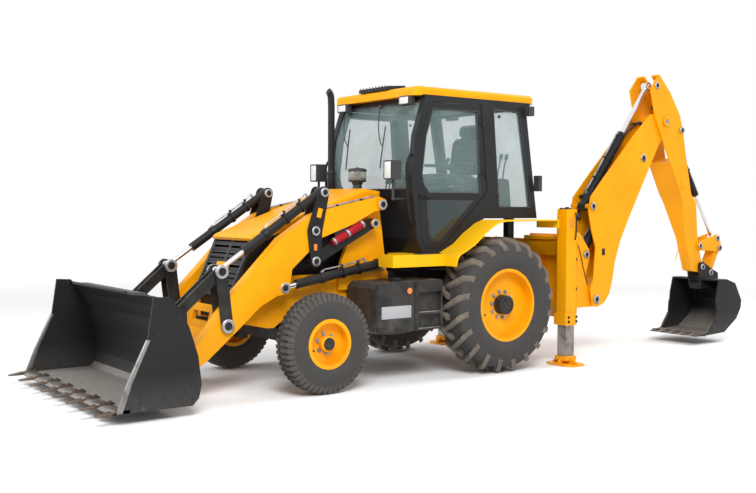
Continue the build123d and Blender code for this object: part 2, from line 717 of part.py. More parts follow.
with BuildPart() as tipping_links:
    for y in both(arm_y):
        for offset_y in both(tine_y):
            strap([(lever_head, 50), (bucket_ear, 46)], y + offset_y, 20)
        plate([(3190, 1070), (3365, 920), (3315, 862), (3140, 1012)], y, 2 * tine_y)
        drum(lever_head, y, 200, arm_pin_radius + pin_fit, mode=Mode.SUBTRACT)
tipping_links.part.label = "tipping_links"
export_step(tipping_links.part, "parts/tipping_links.step")

bucket_side = [
    (3945, 1000), (3805, 992), (3719, 883), (3640, 745), (3560, 500), (3530, 260), (3555, 150),
    (3610, 94), (4252, 94), (4158, 331), (3996, 663),
]
bucket_inner = [
    (3957, 985), (3820, 972), (3733, 872), (3655, 737), (3577, 495), (3548, 262), (3572, 160),
    (3618, 112), (4290, 112), (4200, 331), (4050, 663),
]
tooth_count = 8
lip_low = 968.0
with BuildPart() as loader_bucket:
    plate(bucket_side, 0, bucket_width)
    plate(bucket_inner, 0, bucket_width - 40, mode=Mode.SUBTRACT)
    plate([(4050, 94), (4050, 112), (4262, 112), (4300, 98), (4300, 94)], 0, bucket_width)
    for index in range(tooth_count):
        y = (index / (tooth_count - 1) - 0.5) * (bucket_width - 70)
        with BuildSketch(Plane.XY.offset(94)) as tooth:
            with Locations((rear_axle_x, y)):
                Polygon((4150, -31), (4300, -31), (4420, -14), (4420, 14), (4300, 31), (4150, 31),
                        align=None)
        extrude(tooth.sketch, amount=30)
    plate([(4270, 124.2), (4430, 92), (4430, 130), (4270, 130)], 0, bucket_width, mode=Mode.SUBTRACT)
    for sign in (1, -1):
        with BuildSketch(Plane(origin=(rear_axle_x + 3790, 0, 0), x_dir=(0, 1, 0), z_dir=(1, 0, 0))) as lip:
            with BuildLine():
                Polyline((sign * 620, 1010), (sign * 760, lip_low), (sign * (bucket_width / 2 - 21), lip_low),
                         (sign * (bucket_width / 2 - 21), 1010), close=True)
            make_face()
        extrude(lip.sketch, amount=200, mode=Mode.SUBTRACT)
    for y in both(arm_y):
        for offset_y in both(arm_width / 2 + clear + 9):
            plate([(3300, 290), (3295, 390), (3385, 560), (3395, 820), (3450, 860), (3540, 830),
                   (3680, 800), (3575, 500), (3545, 260), (3570, 170)], y + offset_y, 18)
        drum(bucket_hinge, y, 4 * arm_width, arm_pin_radius + pin_fit, mode=Mode.SUBTRACT)
loader_bucket.part.label = "loader_bucket"
export_step(loader_bucket.part, "parts/loader_bucket.step")

bucket_pin_reach = arm_width / 2 + clear + 18
with BuildPart() as bucket_pins:
    for y in both(arm_y):
        drum(bucket_hinge, y, 2 * (bucket_pin_reach + arm_collar[1]), arm_pin_radius)
        for offset_y in both(bucket_pin_reach + arm_collar[1] / 2 + seat_gap):
            drum(bucket_hinge, y + offset_y, arm_collar[1], arm_collar[0])
bucket_pins.part.label = "bucket_pins"
export_step(bucket_pins.part, "parts/bucket_pins.step")

# ================================================================ rear frame and stabilisers
rail_x = (-1090.0, -1000.0)
upper_rail_z = (1190.0, 1360.0)
lower_rail_z = (560.0, 700.0)
leg_bore = leg_size / 2 + slide_fit
tube_bottom = 440.0
tube_top = 1700.0
with BuildPart() as rear_frame:
    for low, high in (upper_rail_z, lower_rail_z):
        block(rail_x, (-leg_y, leg_y), (low, high))
        for y in both(leg_y):
            block((rail_x[1] - 1, leg_x - tube_size / 2 + 1), (y - tube_size / 2, y + tube_size / 2),
                  (low, high))
    for y in both(leg_y):
        block((leg_x - tube_size / 2, leg_x + tube_size / 2), (y - tube_size / 2, y + tube_size / 2),
              (tube_bottom, tube_top), 14)
        block((leg_x - tube_size / 2 + 1, leg_x + 98), (y - 98, y + 98),
              (tube_bottom, tube_bottom + 130), 20)
        block((leg_x - leg_bore, leg_x + leg_bore), (y - leg_bore, y + leg_bore),
              (tube_bottom - 1, tube_top - 20), mode=Mode.SUBTRACT)
    for y in both(frame_y):
        block((-1010, -840 - seat_gap), (y - 40, y + 40), (700, 1190))
    block((-1010, -990), (-frame_y, frame_y), (700, 1190))
rear_frame.part.label = "rear_frame"
export_step(rear_frame.part, "parts/rear_frame.step")

for hand, y in (("left", leg_y), ("right", -leg_y)):
    with BuildPart() as leg:
        block((leg_x - leg_size / 2, leg_x + leg_size / 2), (y - leg_size / 2, y + leg_size / 2),
              (60, 1060), 8)
        with BuildSketch() as pad:
            with Locations((rear_axle_x + leg_x, y)):
                Rectangle(300, 410)
            chamfer(pad.vertices(), 85)
        extrude(pad.sketch, amount=20)
        block((leg_x - 85, leg_x + 85), (y - 85, y + 85), (0, 90), 5)
        block((leg_x - 140, leg_x + 140), (y - 8, y + 8), (0, 75))
        block((leg_x - 8, leg_x + 8), (y - 190, y + 190), (0, 75))
    leg.part.label = f"{hand}_leg"
    export_step(leg.part, f"parts/{hand}_leg.step")

# ================================================================ backhoe
carriage_face = rail_x[0] - slide_fit


def post(radius, z_range, mode=Mode.ADD):
    """A round bar or bore up the slew axis."""
    with BuildSketch(Plane.XY.offset(z_range[0])) as section:
        with Locations((rear_axle_x + slew_x, hoe_y)):
            Circle(radius)
    extrude(section.sketch, amount=z_range[1] - z_range[0], mode=mode)


slew_pin_radius = 40.0
slew_lugs = ((640.0, 700.0), (1230.0, 1290.0))
king_z = (560.0, 1430.0)
king_half = 94.0
with BuildPart() as carriage:
    block((carriage_face - 45, carriage_face), (hoe_y - 300, hoe_y + 300), (500, 1420), 5)
    for low, high in ((upper_rail_z[1] + slide_fit, 1400), (500, lower_rail_z[0] - slide_fit)):
        block((carriage_face - 20, rail_x[1] + 20), (hoe_y - 280, hoe_y + 280), (low, high))
    for lug in slew_lugs:
        post(king_half - 4, lug)
        block((slew_x, carriage_face - 20), (hoe_y - 70, hoe_y + 70), lug)
    post(slew_pin_radius, king_z)
carriage.part.label = "carriage"
export_step(carriage.part, "parts/carriage.step")

king_profile = [
    (slew_x, king_z[0]), (slew_x, king_z[1]), (-1500, 1430), (-1670, 1225), (-1670, 1120),
    (-1600, 900), (-1720, 735), (-1800, 690), (-1800, 600), (-1740, 560),
]
ram_slot = 122.0
with BuildPart() as kingpost:
    plate(king_profile, hoe_y, 2 * king_half)
    post(king_half, king_z)
    for low, high in slew_lugs:
        block((slew_x - king_half - 6, slew_x + 150), (hoe_y - 150, hoe_y + 150),
              (low - slide_fit, high + slide_fit), mode=Mode.SUBTRACT)
    post(slew_pin_radius + pin_fit, king_z, mode=Mode.SUBTRACT)
    block((-1900, -1530), (hoe_y - ram_slot / 2, hoe_y + ram_slot / 2), (1040, 1500), mode=Mode.SUBTRACT)
    drum(boom_foot, hoe_y, 300, 36 + pin_fit, mode=Mode.SUBTRACT)
    drum(boom_ram_base, hoe_y, 2 * king_half + 20, 32)
kingpost.part.label = "kingpost"
export_step(kingpost.part, "parts/kingpost.step")

boom_profile = [
    (-1642, 770), (-1680, 575), (-1760, 555), (-1880, 600), (-1970, 703), (-2024, 875),
    (-2060, 1073), (-2151, 1320), (-2300, 1593), (-2838, 2488), (-3010, 2700), (-3035, 2800),
    (-2960, 2870), (-2675, 2850), (-2367, 2572), (-1848, 2063), (-1634, 1842), (-1600, 1672),
    (-1655, 1453), (-1728, 1256), (-1711, 1085), (-1695, 890),
]
boom_back = [
    (-2024, 875), (-2060, 1073), (-2151, 1320), (-2300, 1593), (-2838, 2488), (-2810, 2494),
    (-2275, 1600), (-2127, 1318), (-2036, 1074), (-2000, 870),
]
boom_plate = 16.0
with BuildPart() as boom:
    for offset_y in both(boom_half_width - boom_plate / 2):
        plate(boom_profile, hoe_y + offset_y, boom_plate, corner=10)
    plate(boom_back, hoe_y, 2 * boom_half_width - boom_plate)
    plate([(-2200, 1500), (-2300, 1593), (-2780, 2392), (-2720, 2440), (-2140, 1520)], hoe_y,
          ram_slot, grow=30, mode=Mode.SUBTRACT)
    drum(dipper_pivot, hoe_y, 2 * boom_half_width - 10, 75)
    drum(boom_foot, hoe_y, 2 * boom_half_width + 24, 36)
    drum(dipper_pivot, hoe_y, 4 * boom_half_width, 36 + pin_fit, mode=Mode.SUBTRACT)
    drum(dipper_ram_base, hoe_y, 2 * boom_half_width + 24, 30)
boom.part.label = "boom"
export_step(boom.part, "parts/boom.step")

dipper_profile = [
    (-2797, 3339), (-2645, 3157), (-2745, 2793), (-3311, 1788), (-3583, 1788), (-3455, 1893),
    (-3325, 2427), (-3281, 2642), (-3207, 2866), (-3014, 3131),
]
dipper_box = [
    (-3033, 2282), (-3311, 1788), (-3418, 1495), (-3624, 912), (-3749, 890), (-3830, 940),
    (-3815, 1048), (-3713, 1396), (-3583, 1788), (-3455, 1893), (-3345, 2345),
]
dipper_cap = [(-2797, 3339), (-3014, 3131), (-3170, 2917), (-3150, 2902), (-2998, 3114), (-2785, 3318)]
dipper_half_width = boom_half_width + clear + 20
stick_half_width = 70.0
with BuildPart() as dipper:
    for offset_y in both(dipper_half_width - 10):
        plate(dipper_profile, hoe_y + offset_y, 20, corner=10)
    plate(dipper_box, hoe_y, 2 * dipper_half_width)
    plate(dipper_cap, hoe_y, 2 * dipper_half_width - 10)
    plate(dipper_cap, hoe_y, 112, grow=5, mode=Mode.SUBTRACT)
    for sign in (1, -1):
        with BuildSketch(Plane(origin=(rear_axle_x - 4200, hoe_y, 0), x_dir=(0, 1, 0),
                               z_dir=(1, 0, 0))) as flank:
            with BuildLine():
                Polyline((sign * 169, 1900), (sign * stick_half_width, 1330),
                         (sign * stick_half_width, 800), (sign * 250, 800), (sign * 250, 1900),
                         close=True)
            make_face()
        extrude(flank.sketch, amount=1300, mode=Mode.SUBTRACT)
    for centre, radius in ((hoe_lever_foot, 50), (hoe_bucket_hinge, 58)):
        drum(centre, hoe_y, 2 * stick_half_width, radius)
    # columns: pin, radius, half its length
    for centre, radius, reach in [
        (dipper_pivot, 36, dipper_half_width + 14),
        (bucket_ram_base, 28, dipper_half_width + 14),
        (hoe_lever_foot, 28, stick_half_width + 34),
        (hoe_bucket_hinge, 28, stick_half_width + 38),
    ]:
        drum(centre, hoe_y, 2 * reach, radius)
dipper.part.label = "dipper"
export_step(dipper.part, "parts/dipper.step")

bucket_ear_plate = 20.0
pocket_floor = 686.0
hoe_tooth_count = 5
pocket_half = stick_half_width + clear
ear_y = pocket_half + bucket_ear_plate / 2
hoe_bucket_side = [
    (-3961, 806), (-3800, 806), (-3745, 600), (-3727, 345), (-3560, 150), (-3330, 112),
    (-3600, 114), (-3925, 129), (-4181, 290), (-4269, 429), (-4278, 525), (-4142, 748),
]
hoe_bucket_inner = [
    (-3969, 788), (-3780, 788), (-3700, 560), (-3690, 345), (-3530, 170), (-3530, 134),
    (-3919, 149), (-4165, 304), (-4250, 436), (-4257, 520), (-4127, 733),
]
with BuildPart() as hoe_bucket:
    plate(hoe_bucket_side, hoe_y, hoe_bucket_width)
    plate(hoe_bucket_inner, hoe_y, hoe_bucket_width - 32, mode=Mode.SUBTRACT)
    for offset_y in both(ear_y):
        plate([(-3800, 690), (-3745, 930), (-3760, 1010), (-3830, 1020), (-4000, 930), (-4144, 870),
               (-4150, 760), (-4100, 690)], hoe_y + offset_y, bucket_ear_plate)
        drum(hoe_bucket_hinge, hoe_y + offset_y, bucket_ear_plate, 56)
    block((-4150, -3815), (hoe_y - pocket_half, hoe_y + pocket_half), (pocket_floor, 900),
          mode=Mode.SUBTRACT)
    plate([(-4142, 724), (-4110, pocket_floor - 16), (-3815, pocket_floor - 16), (-3815, pocket_floor),
           (-4101, pocket_floor), (-4131, 737)], hoe_y, 2 * ear_y)
    block((-3815, -3799), (hoe_y - ear_y, hoe_y + ear_y), (pocket_floor - 16, 806))
    block((-3830, -3780), (hoe_y - pocket_half, hoe_y + pocket_half), (744, 900), mode=Mode.SUBTRACT)
    for index in range(hoe_tooth_count):
        tooth_y = hoe_y + (index / (hoe_tooth_count - 1) - 0.5) * (hoe_bucket_width - 80)
        plate([(-3560, 112), (-3560, 146), (-3400, 136), (-3330, 112)], tooth_y, 64)
    for sign in (1, -1):
        plate([(-3735, 500), (-3722, 345), (-3600, 190), (-3660, 165), (-3775, 310), (-3785, 500)],
              hoe_y + sign * (hoe_bucket_width / 2 + 4), 10)
    drum(hoe_bucket_hinge, hoe_y, 4 * ear_y, 28 + pin_fit, mode=Mode.SUBTRACT)
hoe_bucket.part.label = "hoe_bucket"
export_step(hoe_bucket.part, "parts/hoe_bucket.step")

lever_y = stick_half_width + clear + 8
with BuildPart() as hoe_lever:
    for offset_y in both(lever_y):
        strap([(hoe_lever_foot, 50), (hoe_lever_ram_pin, 50), (hoe_lever_link_pin, 50)],
              hoe_y + offset_y, 16)
    for centre in (hoe_lever_foot, hoe_lever_link_pin):
        drum(centre, hoe_y, 4 * lever_y, 28 + pin_fit, mode=Mode.SUBTRACT)
hoe_lever.part.label = "hoe_lever"
export_step(hoe_lever.part, "parts/hoe_lever.step")

with BuildPart() as hoe_link:
    strap([(hoe_lever_link_pin, 42), (hoe_bucket_ear, 38)], hoe_y, 2 * stick_half_width)
    drum(hoe_lever_link_pin, hoe_y, 2 * (lever_y + 20), 28)
hoe_link.part.label = "hoe_link"
export_step(hoe_link.part, "parts/hoe_link.step")

# columns: name, base pin, rod eye, pin radius, barrel radius, rod radius, barrel length,
#          where the rod starts at rest
ram_table = [
    ("boom", boom_ram_base, boom_ram_eye, 32, 55, 30, 1190, 250),
    ("dipper", dipper_ram_base, dipper_ram_eye, 30, 52, 28, 1090, 720),
    ("hoe_bucket", bucket_ram_base, hoe_lever_ram_pin, 28, 45, 25, 960, 500),
]
for name, base, eye, pin_radius, barrel_radius, rod_radius, barrel_length, rod_start in ram_table:
    with BuildPart() as barrel:
        drum(base, hoe_y, 100, pin_radius + 22)
        bar(base, eye, hoe_y, barrel_radius, 0, barrel_length)
        drum(base, hoe_y, 200, pin_radius + pin_fit, mode=Mode.SUBTRACT)
        bar(base, eye, hoe_y, rod_radius + pin_fit, pin_radius + 24, 2000, mode=Mode.SUBTRACT)
    barrel.part.label = f"{name}_barrel"
    export_step(barrel.part, f"parts/{name}_barrel.step")

    with BuildPart() as rod:
        bar(base, eye, hoe_y, rod_radius, rod_start, span(base, eye) - rod_start)
        drum(eye, hoe_y, 80, pin_radius + 20)
        drum(eye, hoe_y, 90, pin_radius, mode=Mode.SUBTRACT)
    rod.part.label = f"{name}_rod"
    export_step(rod.part, f"parts/{name}_rod.step")
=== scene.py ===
import math

import bmesh
import bpy
from mathutils import Matrix, Vector


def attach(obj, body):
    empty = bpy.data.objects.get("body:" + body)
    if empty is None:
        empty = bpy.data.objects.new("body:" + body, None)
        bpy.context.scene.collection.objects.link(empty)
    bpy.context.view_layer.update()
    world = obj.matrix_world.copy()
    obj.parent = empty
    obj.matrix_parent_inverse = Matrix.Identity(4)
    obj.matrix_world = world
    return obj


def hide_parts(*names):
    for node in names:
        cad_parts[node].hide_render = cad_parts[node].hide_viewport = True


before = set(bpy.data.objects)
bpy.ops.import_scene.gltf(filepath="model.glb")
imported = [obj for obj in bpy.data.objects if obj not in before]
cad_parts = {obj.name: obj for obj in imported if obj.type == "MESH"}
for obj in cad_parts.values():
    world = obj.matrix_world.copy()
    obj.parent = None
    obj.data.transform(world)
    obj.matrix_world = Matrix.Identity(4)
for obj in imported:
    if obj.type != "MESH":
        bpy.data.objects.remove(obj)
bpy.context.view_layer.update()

REAR_X = -0.075
HOE_Y = 0.580
ARM_Y = 0.535
SIDES = (("left", 1), ("right", -1))
WHEELBASE = 2.17


def spot(ahead, height, y=0.0):
    """A point from its distance ahead of the rear axle and its height."""
    return Vector((REAR_X + ahead, y, height))


def hoe_spot(ahead, height, out=0.0):
    """A point set out from the backhoe's middle plane."""
    return spot(ahead, height, HOE_Y + out)


def side_run(y, *places):
    """Points that share one distance from the middle."""
    return [spot(ahead, height, y) for ahead, height in places]


def hoe_run(out, *places):
    """Points that share one distance from the backhoe's middle plane."""
    return side_run(HOE_Y + out, *places)


def pitched(degrees):
    """A turn about the machine's width."""
    return Matrix.Rotation(math.radians(degrees), 3, "Y")


def linked(name, data):
    """A new object in the scene."""
    made = bpy.data.objects.new(name, data)
    bpy.context.collection.objects.link(made)
    return made


# ------------------------------------------------------------------ shader maths
class Val:
    """A socket or number that takes part in shader arithmetic."""

    def __init__(self, shader, source):
        self.shader = shader
        self.source = source

    def _math(self, operation, *others):
        return self.shader.node("ShaderNodeMath", {"operation": operation},
                                dict(enumerate([self, *others])))

    def __add__(self, other):
        return self._math("ADD", other)

    def __mul__(self, other):
        return self._math("MULTIPLY", other)

    def __pow__(self, other):
        return self._math("POWER", other)

    def above(self, edge):
        return self._math("GREATER_THAN", edge)

    def least(self, other):
        return self._math("MINIMUM", other)

    def most(self, other):
        return self._math("MAXIMUM", other)

    def size(self):
        return self._math("ABSOLUTE")

    def sine(self):
        return self._math("SINE")

    def ramp(self, low, high, start=0.0, end=1.0):
        """Map low..high onto start..end, clamped."""
        inputs = {"Value": self, "From Min": low, "From Max": high, "To Min": start, "To Max": end}
        return self.shader.node("ShaderNodeMapRange", {"clamp": True}, inputs)


class Shader:
    """One material and the nodes that feed its Principled surface."""

    def __init__(self, name):
        self.material = bpy.data.materials.new(name)
        self.material.use_nodes = True
        self.tree = self.material.node_tree
        self.tree.nodes.clear()
        self.surface = self.tree.nodes.new("ShaderNodeBsdfPrincipled")
        self.output = self.tree.nodes.new("ShaderNodeOutputMaterial")
        self.tree.links.new(self.surface.outputs[0], self.output.inputs[0])
        coordinates = self.tree.nodes.new("ShaderNodeTexCoord")
        self.place = coordinates.outputs["Object"]
        axes = self.tree.nodes.new("ShaderNodeSeparateXYZ")
        self.tree.links.new(self.place, axes.inputs[0])
        self.x, self.y, self.z = [Val(self, axes.outputs[index]) for index in range(3)]
        geometry = self.tree.nodes.new("ShaderNodeNewGeometry")
        facing = self.tree.nodes.new("ShaderNodeSeparateXYZ")
        self.tree.links.new(geometry.outputs["Normal"], facing.inputs[0])
        self.up = Val(self, facing.outputs[2])

    def node(self, kind, settings, inputs, output=0):
        """Add a node, set it up, feed its inputs and give back one of its outputs."""
        made = self.tree.nodes.new(kind)
        for key, value in settings.items():
            setattr(made, key, value)
        for key, value in inputs.items():
            self.feed(made.inputs[key], value)
        return Val(self, made.outputs[output])

    def feed(self, socket, value):
        """Link a socket, or set a number or colour on it."""
        if isinstance(value, Val):
            value = value.source
        if isinstance(value, bpy.types.NodeSocket):
            self.tree.links.new(value, socket)
        elif isinstance(value, tuple) and len(value) == 3 and socket.type == "RGBA":
            socket.default_value = (*value, 1.0)
        else:
            socket.default_value = value

    def noise(self, scale, detail=3.0, rough=0.55, stretch=(1.0, 1.0, 1.0)):
        """Fractal noise from 0 to 1 about a mean of a half."""
        where = self.place
        if stretch != (1.0, 1.0, 1.0):
            where = self.node("ShaderNodeMapping", {}, {"Vector": self.place, "Scale": stretch})
        inputs = {"Vector": where, "Scale": scale, "Detail": detail, "Roughness": rough}
        return self.node("ShaderNodeTexNoise", {}, inputs)

    def grains(self, scale):
        """Distance from the nearest of many scattered grains."""
        return self.node("ShaderNodeTexVoronoi", {}, {"Vector": self.place, "Scale": scale})

    def mix(self, amount, under, over):
        settings = {"data_type": "RGBA", "blend_type": "MIX"}
        return self.node("ShaderNodeMix", settings, {0: amount, 6: under, 7: over}, 2)

    def bump(self, height, distance, strength=1.0):
        inputs = {"Height": height, "Distance": distance, "Strength": strength}
        return self.node("ShaderNodeBump", {}, inputs)

    def finish(self, **values):
        """Feed the Principled surface and give back the material."""
        names = {"colour": "Base Color", "roughness": "Roughness", "metallic": "Metallic",
                 "specular": "Specular IOR Level", "coat": "Coat Weight", "sheen": "Sheen Weight",
                 "coat_roughness": "Coat Roughness", "normal": "Normal", "alpha": "Alpha"}
        for key, value in values.items():
            self.feed(self.surface.inputs[names[key]], value)
        return self.material


DUST = (0.42, 0.36, 0.28)


def painted(name, colour, dusty=0.20, gloss=0.34, dust_top=1.3, second=None):
    """Sprayed paint with orange peel, faded patches and dust that settles low down and on top.

    A second colour covers what is ahead of the cab, above the frame's lower edge.
    """
    shader = Shader(name)
    fade = shader.noise(1.7, 4.0)
    dirt = shader.noise(7.0, 6.0, 0.65)
    low = shader.z.ramp(0.0, dust_top, 1.0, 0.0)
    film = (low * 0.55 + shader.up.ramp(0.55, 1.0, 0.0, 0.35)) * dirt.ramp(0.35, 0.7)
    deep = tuple(channel * 0.86 for channel in colour)
    body = shader.mix(fade.ramp(0.35, 0.65), deep, colour)
    if second:
        ahead = (shader.x.above(REAR_X + 1.06) * shader.z.above(0.57)
                 * shader.y.size().above(0.375))
        body = shader.mix(ahead, body, second)
    scuffs = shader.noise(38.0, 3.0, 0.7).ramp(0.66, 0.74) * dirt.ramp(0.45, 0.65) * 0.25
    worn = shader.mix(scuffs, body, tuple(channel * 0.5 for channel in colour))
    peel = shader.noise(420.0, 1.0)
    return shader.finish(colour=shader.mix(film * dusty, worn, DUST),
                         roughness=fade.ramp(0.3, 0.7, gloss - 0.04, gloss + 0.06) + film * 0.35,
                         specular=0.16, coat=0.04, coat_roughness=0.12,
                         normal=shader.bump(peel, 0.0004, 0.25))


def rubber(name, soiled):
    """Road-greyed rubber; soiled is how much dry earth is rubbed into it."""
    shader = Shader(name)
    soil = shader.noise(9.0, 6.0, 0.7)
    fine = shader.noise(70.0, 4.0, 0.6)
    clean = shader.mix(fine, (0.030, 0.031, 0.032), (0.048, 0.048, 0.048))
    mask = soil.ramp(0.35, 0.7, 0.45, 1.0) * soiled
    return shader.finish(colour=shader.mix(mask, clean, (0.225, 0.185, 0.145)), specular=0.25,
                         roughness=fine.ramp(0.3, 0.7, 0.72, 0.92),
                         normal=shader.bump(fine, 0.0015, 0.5))


def tool_steel(name, floor_z):
    """Black-painted bucket steel, scuffed grey where the load slides along its floor."""
    shader = Shader(name)
    streaks = shader.noise(30.0, 5.0, 0.7, (1.0, 5.0, 1.0))
    patches = shader.noise(3.0, 5.0, 0.6)
    fine = shader.noise(90.0, 3.0, 0.6)
    low = shader.z.ramp(floor_z, floor_z + 0.22, 1.0, 0.0) * shader.up.ramp(0.2, 0.7, 0.10, 1.0)
    scratch = streaks.ramp(0.62, 0.70) * patches.ramp(0.48, 0.62) * 0.22
    wear = (scratch + low * streaks.ramp(0.20, 0.52)).least(1.0)
    bare = shader.mix(fine, (0.34, 0.33, 0.31), (0.20, 0.17, 0.14))
    paint = shader.mix(patches, (0.011, 0.011, 0.012), (0.020, 0.020, 0.021))
    return shader.finish(colour=shader.mix(wear, paint, bare), metallic=low * 0.35, specular=0.2,
                         roughness=wear.ramp(0.0, 1.0, 0.40, 0.55) + fine * 0.08,
                         normal=shader.bump(fine, 0.0006, 0.35))


def bright_rod(name):
    """Hard chrome with a faint oil film."""
    shader = Shader(name)
    film = shader.noise(30.0, 3.0)
    return shader.finish(colour=(0.82, 0.83, 0.85), metallic=1.0,
                         roughness=film.ramp(0.3, 0.7, 0.07, 0.2))


def machined(name, colour=(0.45, 0.45, 0.46)):
    """Turned or ground steel gone slightly dull."""
    shader = Shader(name)
    grain = shader.noise(55.0, 4.0, 0.7)
    grime = shader.noise(12.0, 4.0).ramp(0.5, 0.75)
    return shader.finish(colour=shader.mix(grime, colour, (0.10, 0.09, 0.08)), metallic=0.85,
                         roughness=grain.ramp(0.3, 0.7, 0.32, 0.55))


def cab_pane(name, colour, cover):
    """Tinted glass or clear plastic; cover is how much it hides."""
    shader = Shader(name)
    haze = shader.noise(3.0, 4.0)
    return shader.finish(colour=colour, roughness=haze.ramp(0.3, 0.7, 0.02, 0.06),
                         alpha=haze.ramp(0.3, 0.7, cover - 0.04, cover + 0.04), coat=0.4)


def moulded(name, colour, rough=0.6):
    """Grained plastic."""
    shader = Shader(name)
    grain = shader.grains(700.0)
    patch = shader.noise(6.0, 4.0)
    return shader.finish(colour=shader.mix(patch, colour, tuple(c * 1.5 + 0.01 for c in colour)),
                         roughness=patch.ramp(0.3, 0.7, rough - 0.05, rough + 0.08),
                         normal=shader.bump(grain, 0.0003, 0.5))


def clear_lens(name, colour):
    """Fluted lamp lens."""
    shader = Shader(name)
    flutes = (shader.y * 900.0).sine() * (shader.z * 900.0).sine()
    speck = shader.noise(60.0, 2.0)
    return shader.finish(colour=shader.mix(speck, colour, tuple(c * 0.8 for c in colour)),
                         roughness=0.12, coat=0.8, normal=shader.bump(flutes, 0.0006, 0.6))


def woven(name, colour):
    """Woven seat cloth."""
    shader = Shader(name)
    weave = (shader.x * 2600.0).sine() * (shader.y * 2600.0).sine()
    patch = shader.noise(14.0, 5.0)
    return shader.finish(colour=shader.mix(patch, colour, tuple(c * 1.8 for c in colour)),
                         roughness=0.92, sheen=0.3, normal=shader.bump(weave, 0.0008, 0.6))


YELLOW = (0.90, 0.365, 0.0005)
yellow = painted("yellow_paint", YELLOW, dusty=0.08)
# Lighter, yellower copy of the yellow paint for the fenders: a painted highlight that stands in for the
# light falling on their arches
fender_highlight_yellow = painted("fender_highlight_paint", (0.92, 0.50, 0.004), dusty=0.12)
black = painted("black_paint", (0.016, 0.016, 0.017), dusty=0.35, gloss=0.38)
cab_dark = painted("cab_dark_paint", (0.020, 0.021, 0.023), dusty=0.12, gloss=0.30)
tank_dark = painted("tank_dark_paint", (0.022, 0.022, 0.023), dusty=0.5, gloss=0.42)
chassis_paint = painted("chassis_paint", (0.016, 0.016, 0.017), gloss=0.36, second=YELLOW)
tyre_rubber = rubber("tyre_rubber", 0.10)
tread_rubber = rubber("tread_rubber", 0.85)
road_rubber = rubber("road_tread_rubber", 0.30)
bucket_steel = tool_steel("loader_bucket_steel", 0.16)
hoe_steel = tool_steel("hoe_bucket_steel", 0.16)
chrome = bright_rod("chrome_rod")
steel = machined("pin_steel")
leg_steel = machined("leg_steel", (0.34, 0.31, 0.28))
worn_steel = machined("worn_steel", (0.30, 0.29, 0.28))
tooth_steel = machined("tooth_steel", (0.16, 0.115, 0.085))
pane = cab_pane("cab_glass", (0.26, 0.38, 0.38), 0.22)
dark_pane = cab_pane("dark_glass", (0.015, 0.03, 0.032), 0.92)
bowl_clear = cab_pane("bowl_plastic", (0.30, 0.29, 0.26), 0.55)
plastic = moulded("dark_plastic", (0.018, 0.018, 0.019))
lens = clear_lens("lamp_lens", (0.72, 0.73, 0.72))
amber = clear_lens("amber_lens", (0.85, 0.22, 0.02))
ruby = clear_lens("ruby_lens", (0.45, 0.01, 0.012))
pale = painted("pale_plate", (0.40, 0.41, 0.43), dusty=0.3)
red_strut = painted("crimson_strut", (0.36, 0.008, 0.018), dusty=0.2)
hose_grey = moulded("hose_rubber", (0.05, 0.05, 0.052), 0.7)
cloth = woven("seat_cloth", (0.020, 0.020, 0.023))

FINISH = {
    # the fenders take the lighter copy of the yellow, a painted highlight
    fender_highlight_yellow: "fenders",
    yellow: """hood cab_roof loader_arms boom dipper hoe_link kingpost carriage
        rear_frame left_leg right_leg hoe_lever rear_left_rim rear_right_rim
        front_left_rim front_right_rim""",
    chassis_paint: "chassis",
    black: """axles bell_cranks levelling_links tipping_links tipping_levers lift_barrels
        tilt_barrels boom_barrel dipper_barrel hoe_bucket_barrel left_knuckle right_knuckle
        engine_block exhaust_stack air_precleaner grille""",
    tank_dark: "side_tanks",
    cab_dark: "cab_frame left_door right_door roof_vent",
    tyre_rubber: "rear_left_tyre rear_right_tyre front_left_tyre front_right_tyre",
    bucket_steel: "loader_bucket",
    hoe_steel: "hoe_bucket",
    chrome: "lift_rods tilt_rods boom_rod dipper_rod hoe_bucket_rod",
    steel: "bucket_pins lever_pins crank_pins tipping_pins",
    pane: "cab_glass left_door_glass right_door_glass",
    plastic: "controls lamps",
    cloth: "seat",
}
for material, names in FINISH.items():
    for name in names.split():
        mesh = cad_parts[name].data
        mesh.materials.clear()
        mesh.materials.append(material)


# ------------------------------------------------------------------ shaping tools
def finished_mesh(piece):
    """The mesh that a piece's curve or modifiers make of it."""
    bpy.context.view_layer.update()
    return bpy.data.meshes.new_from_object(
        piece.evaluated_get(bpy.context.evaluated_depsgraph_get()))


def unit_cube():
    shape = bmesh.new()
    bmesh.ops.create_cube(shape, size=1.0)
    return shape


def chamfer(shape, edges, offset, segments):
    bmesh.ops.bevel(shape, geom=edges, offset=offset, segments=segments, profile=0.5,
                    affect="EDGES", material=-1, offset_type="OFFSET")


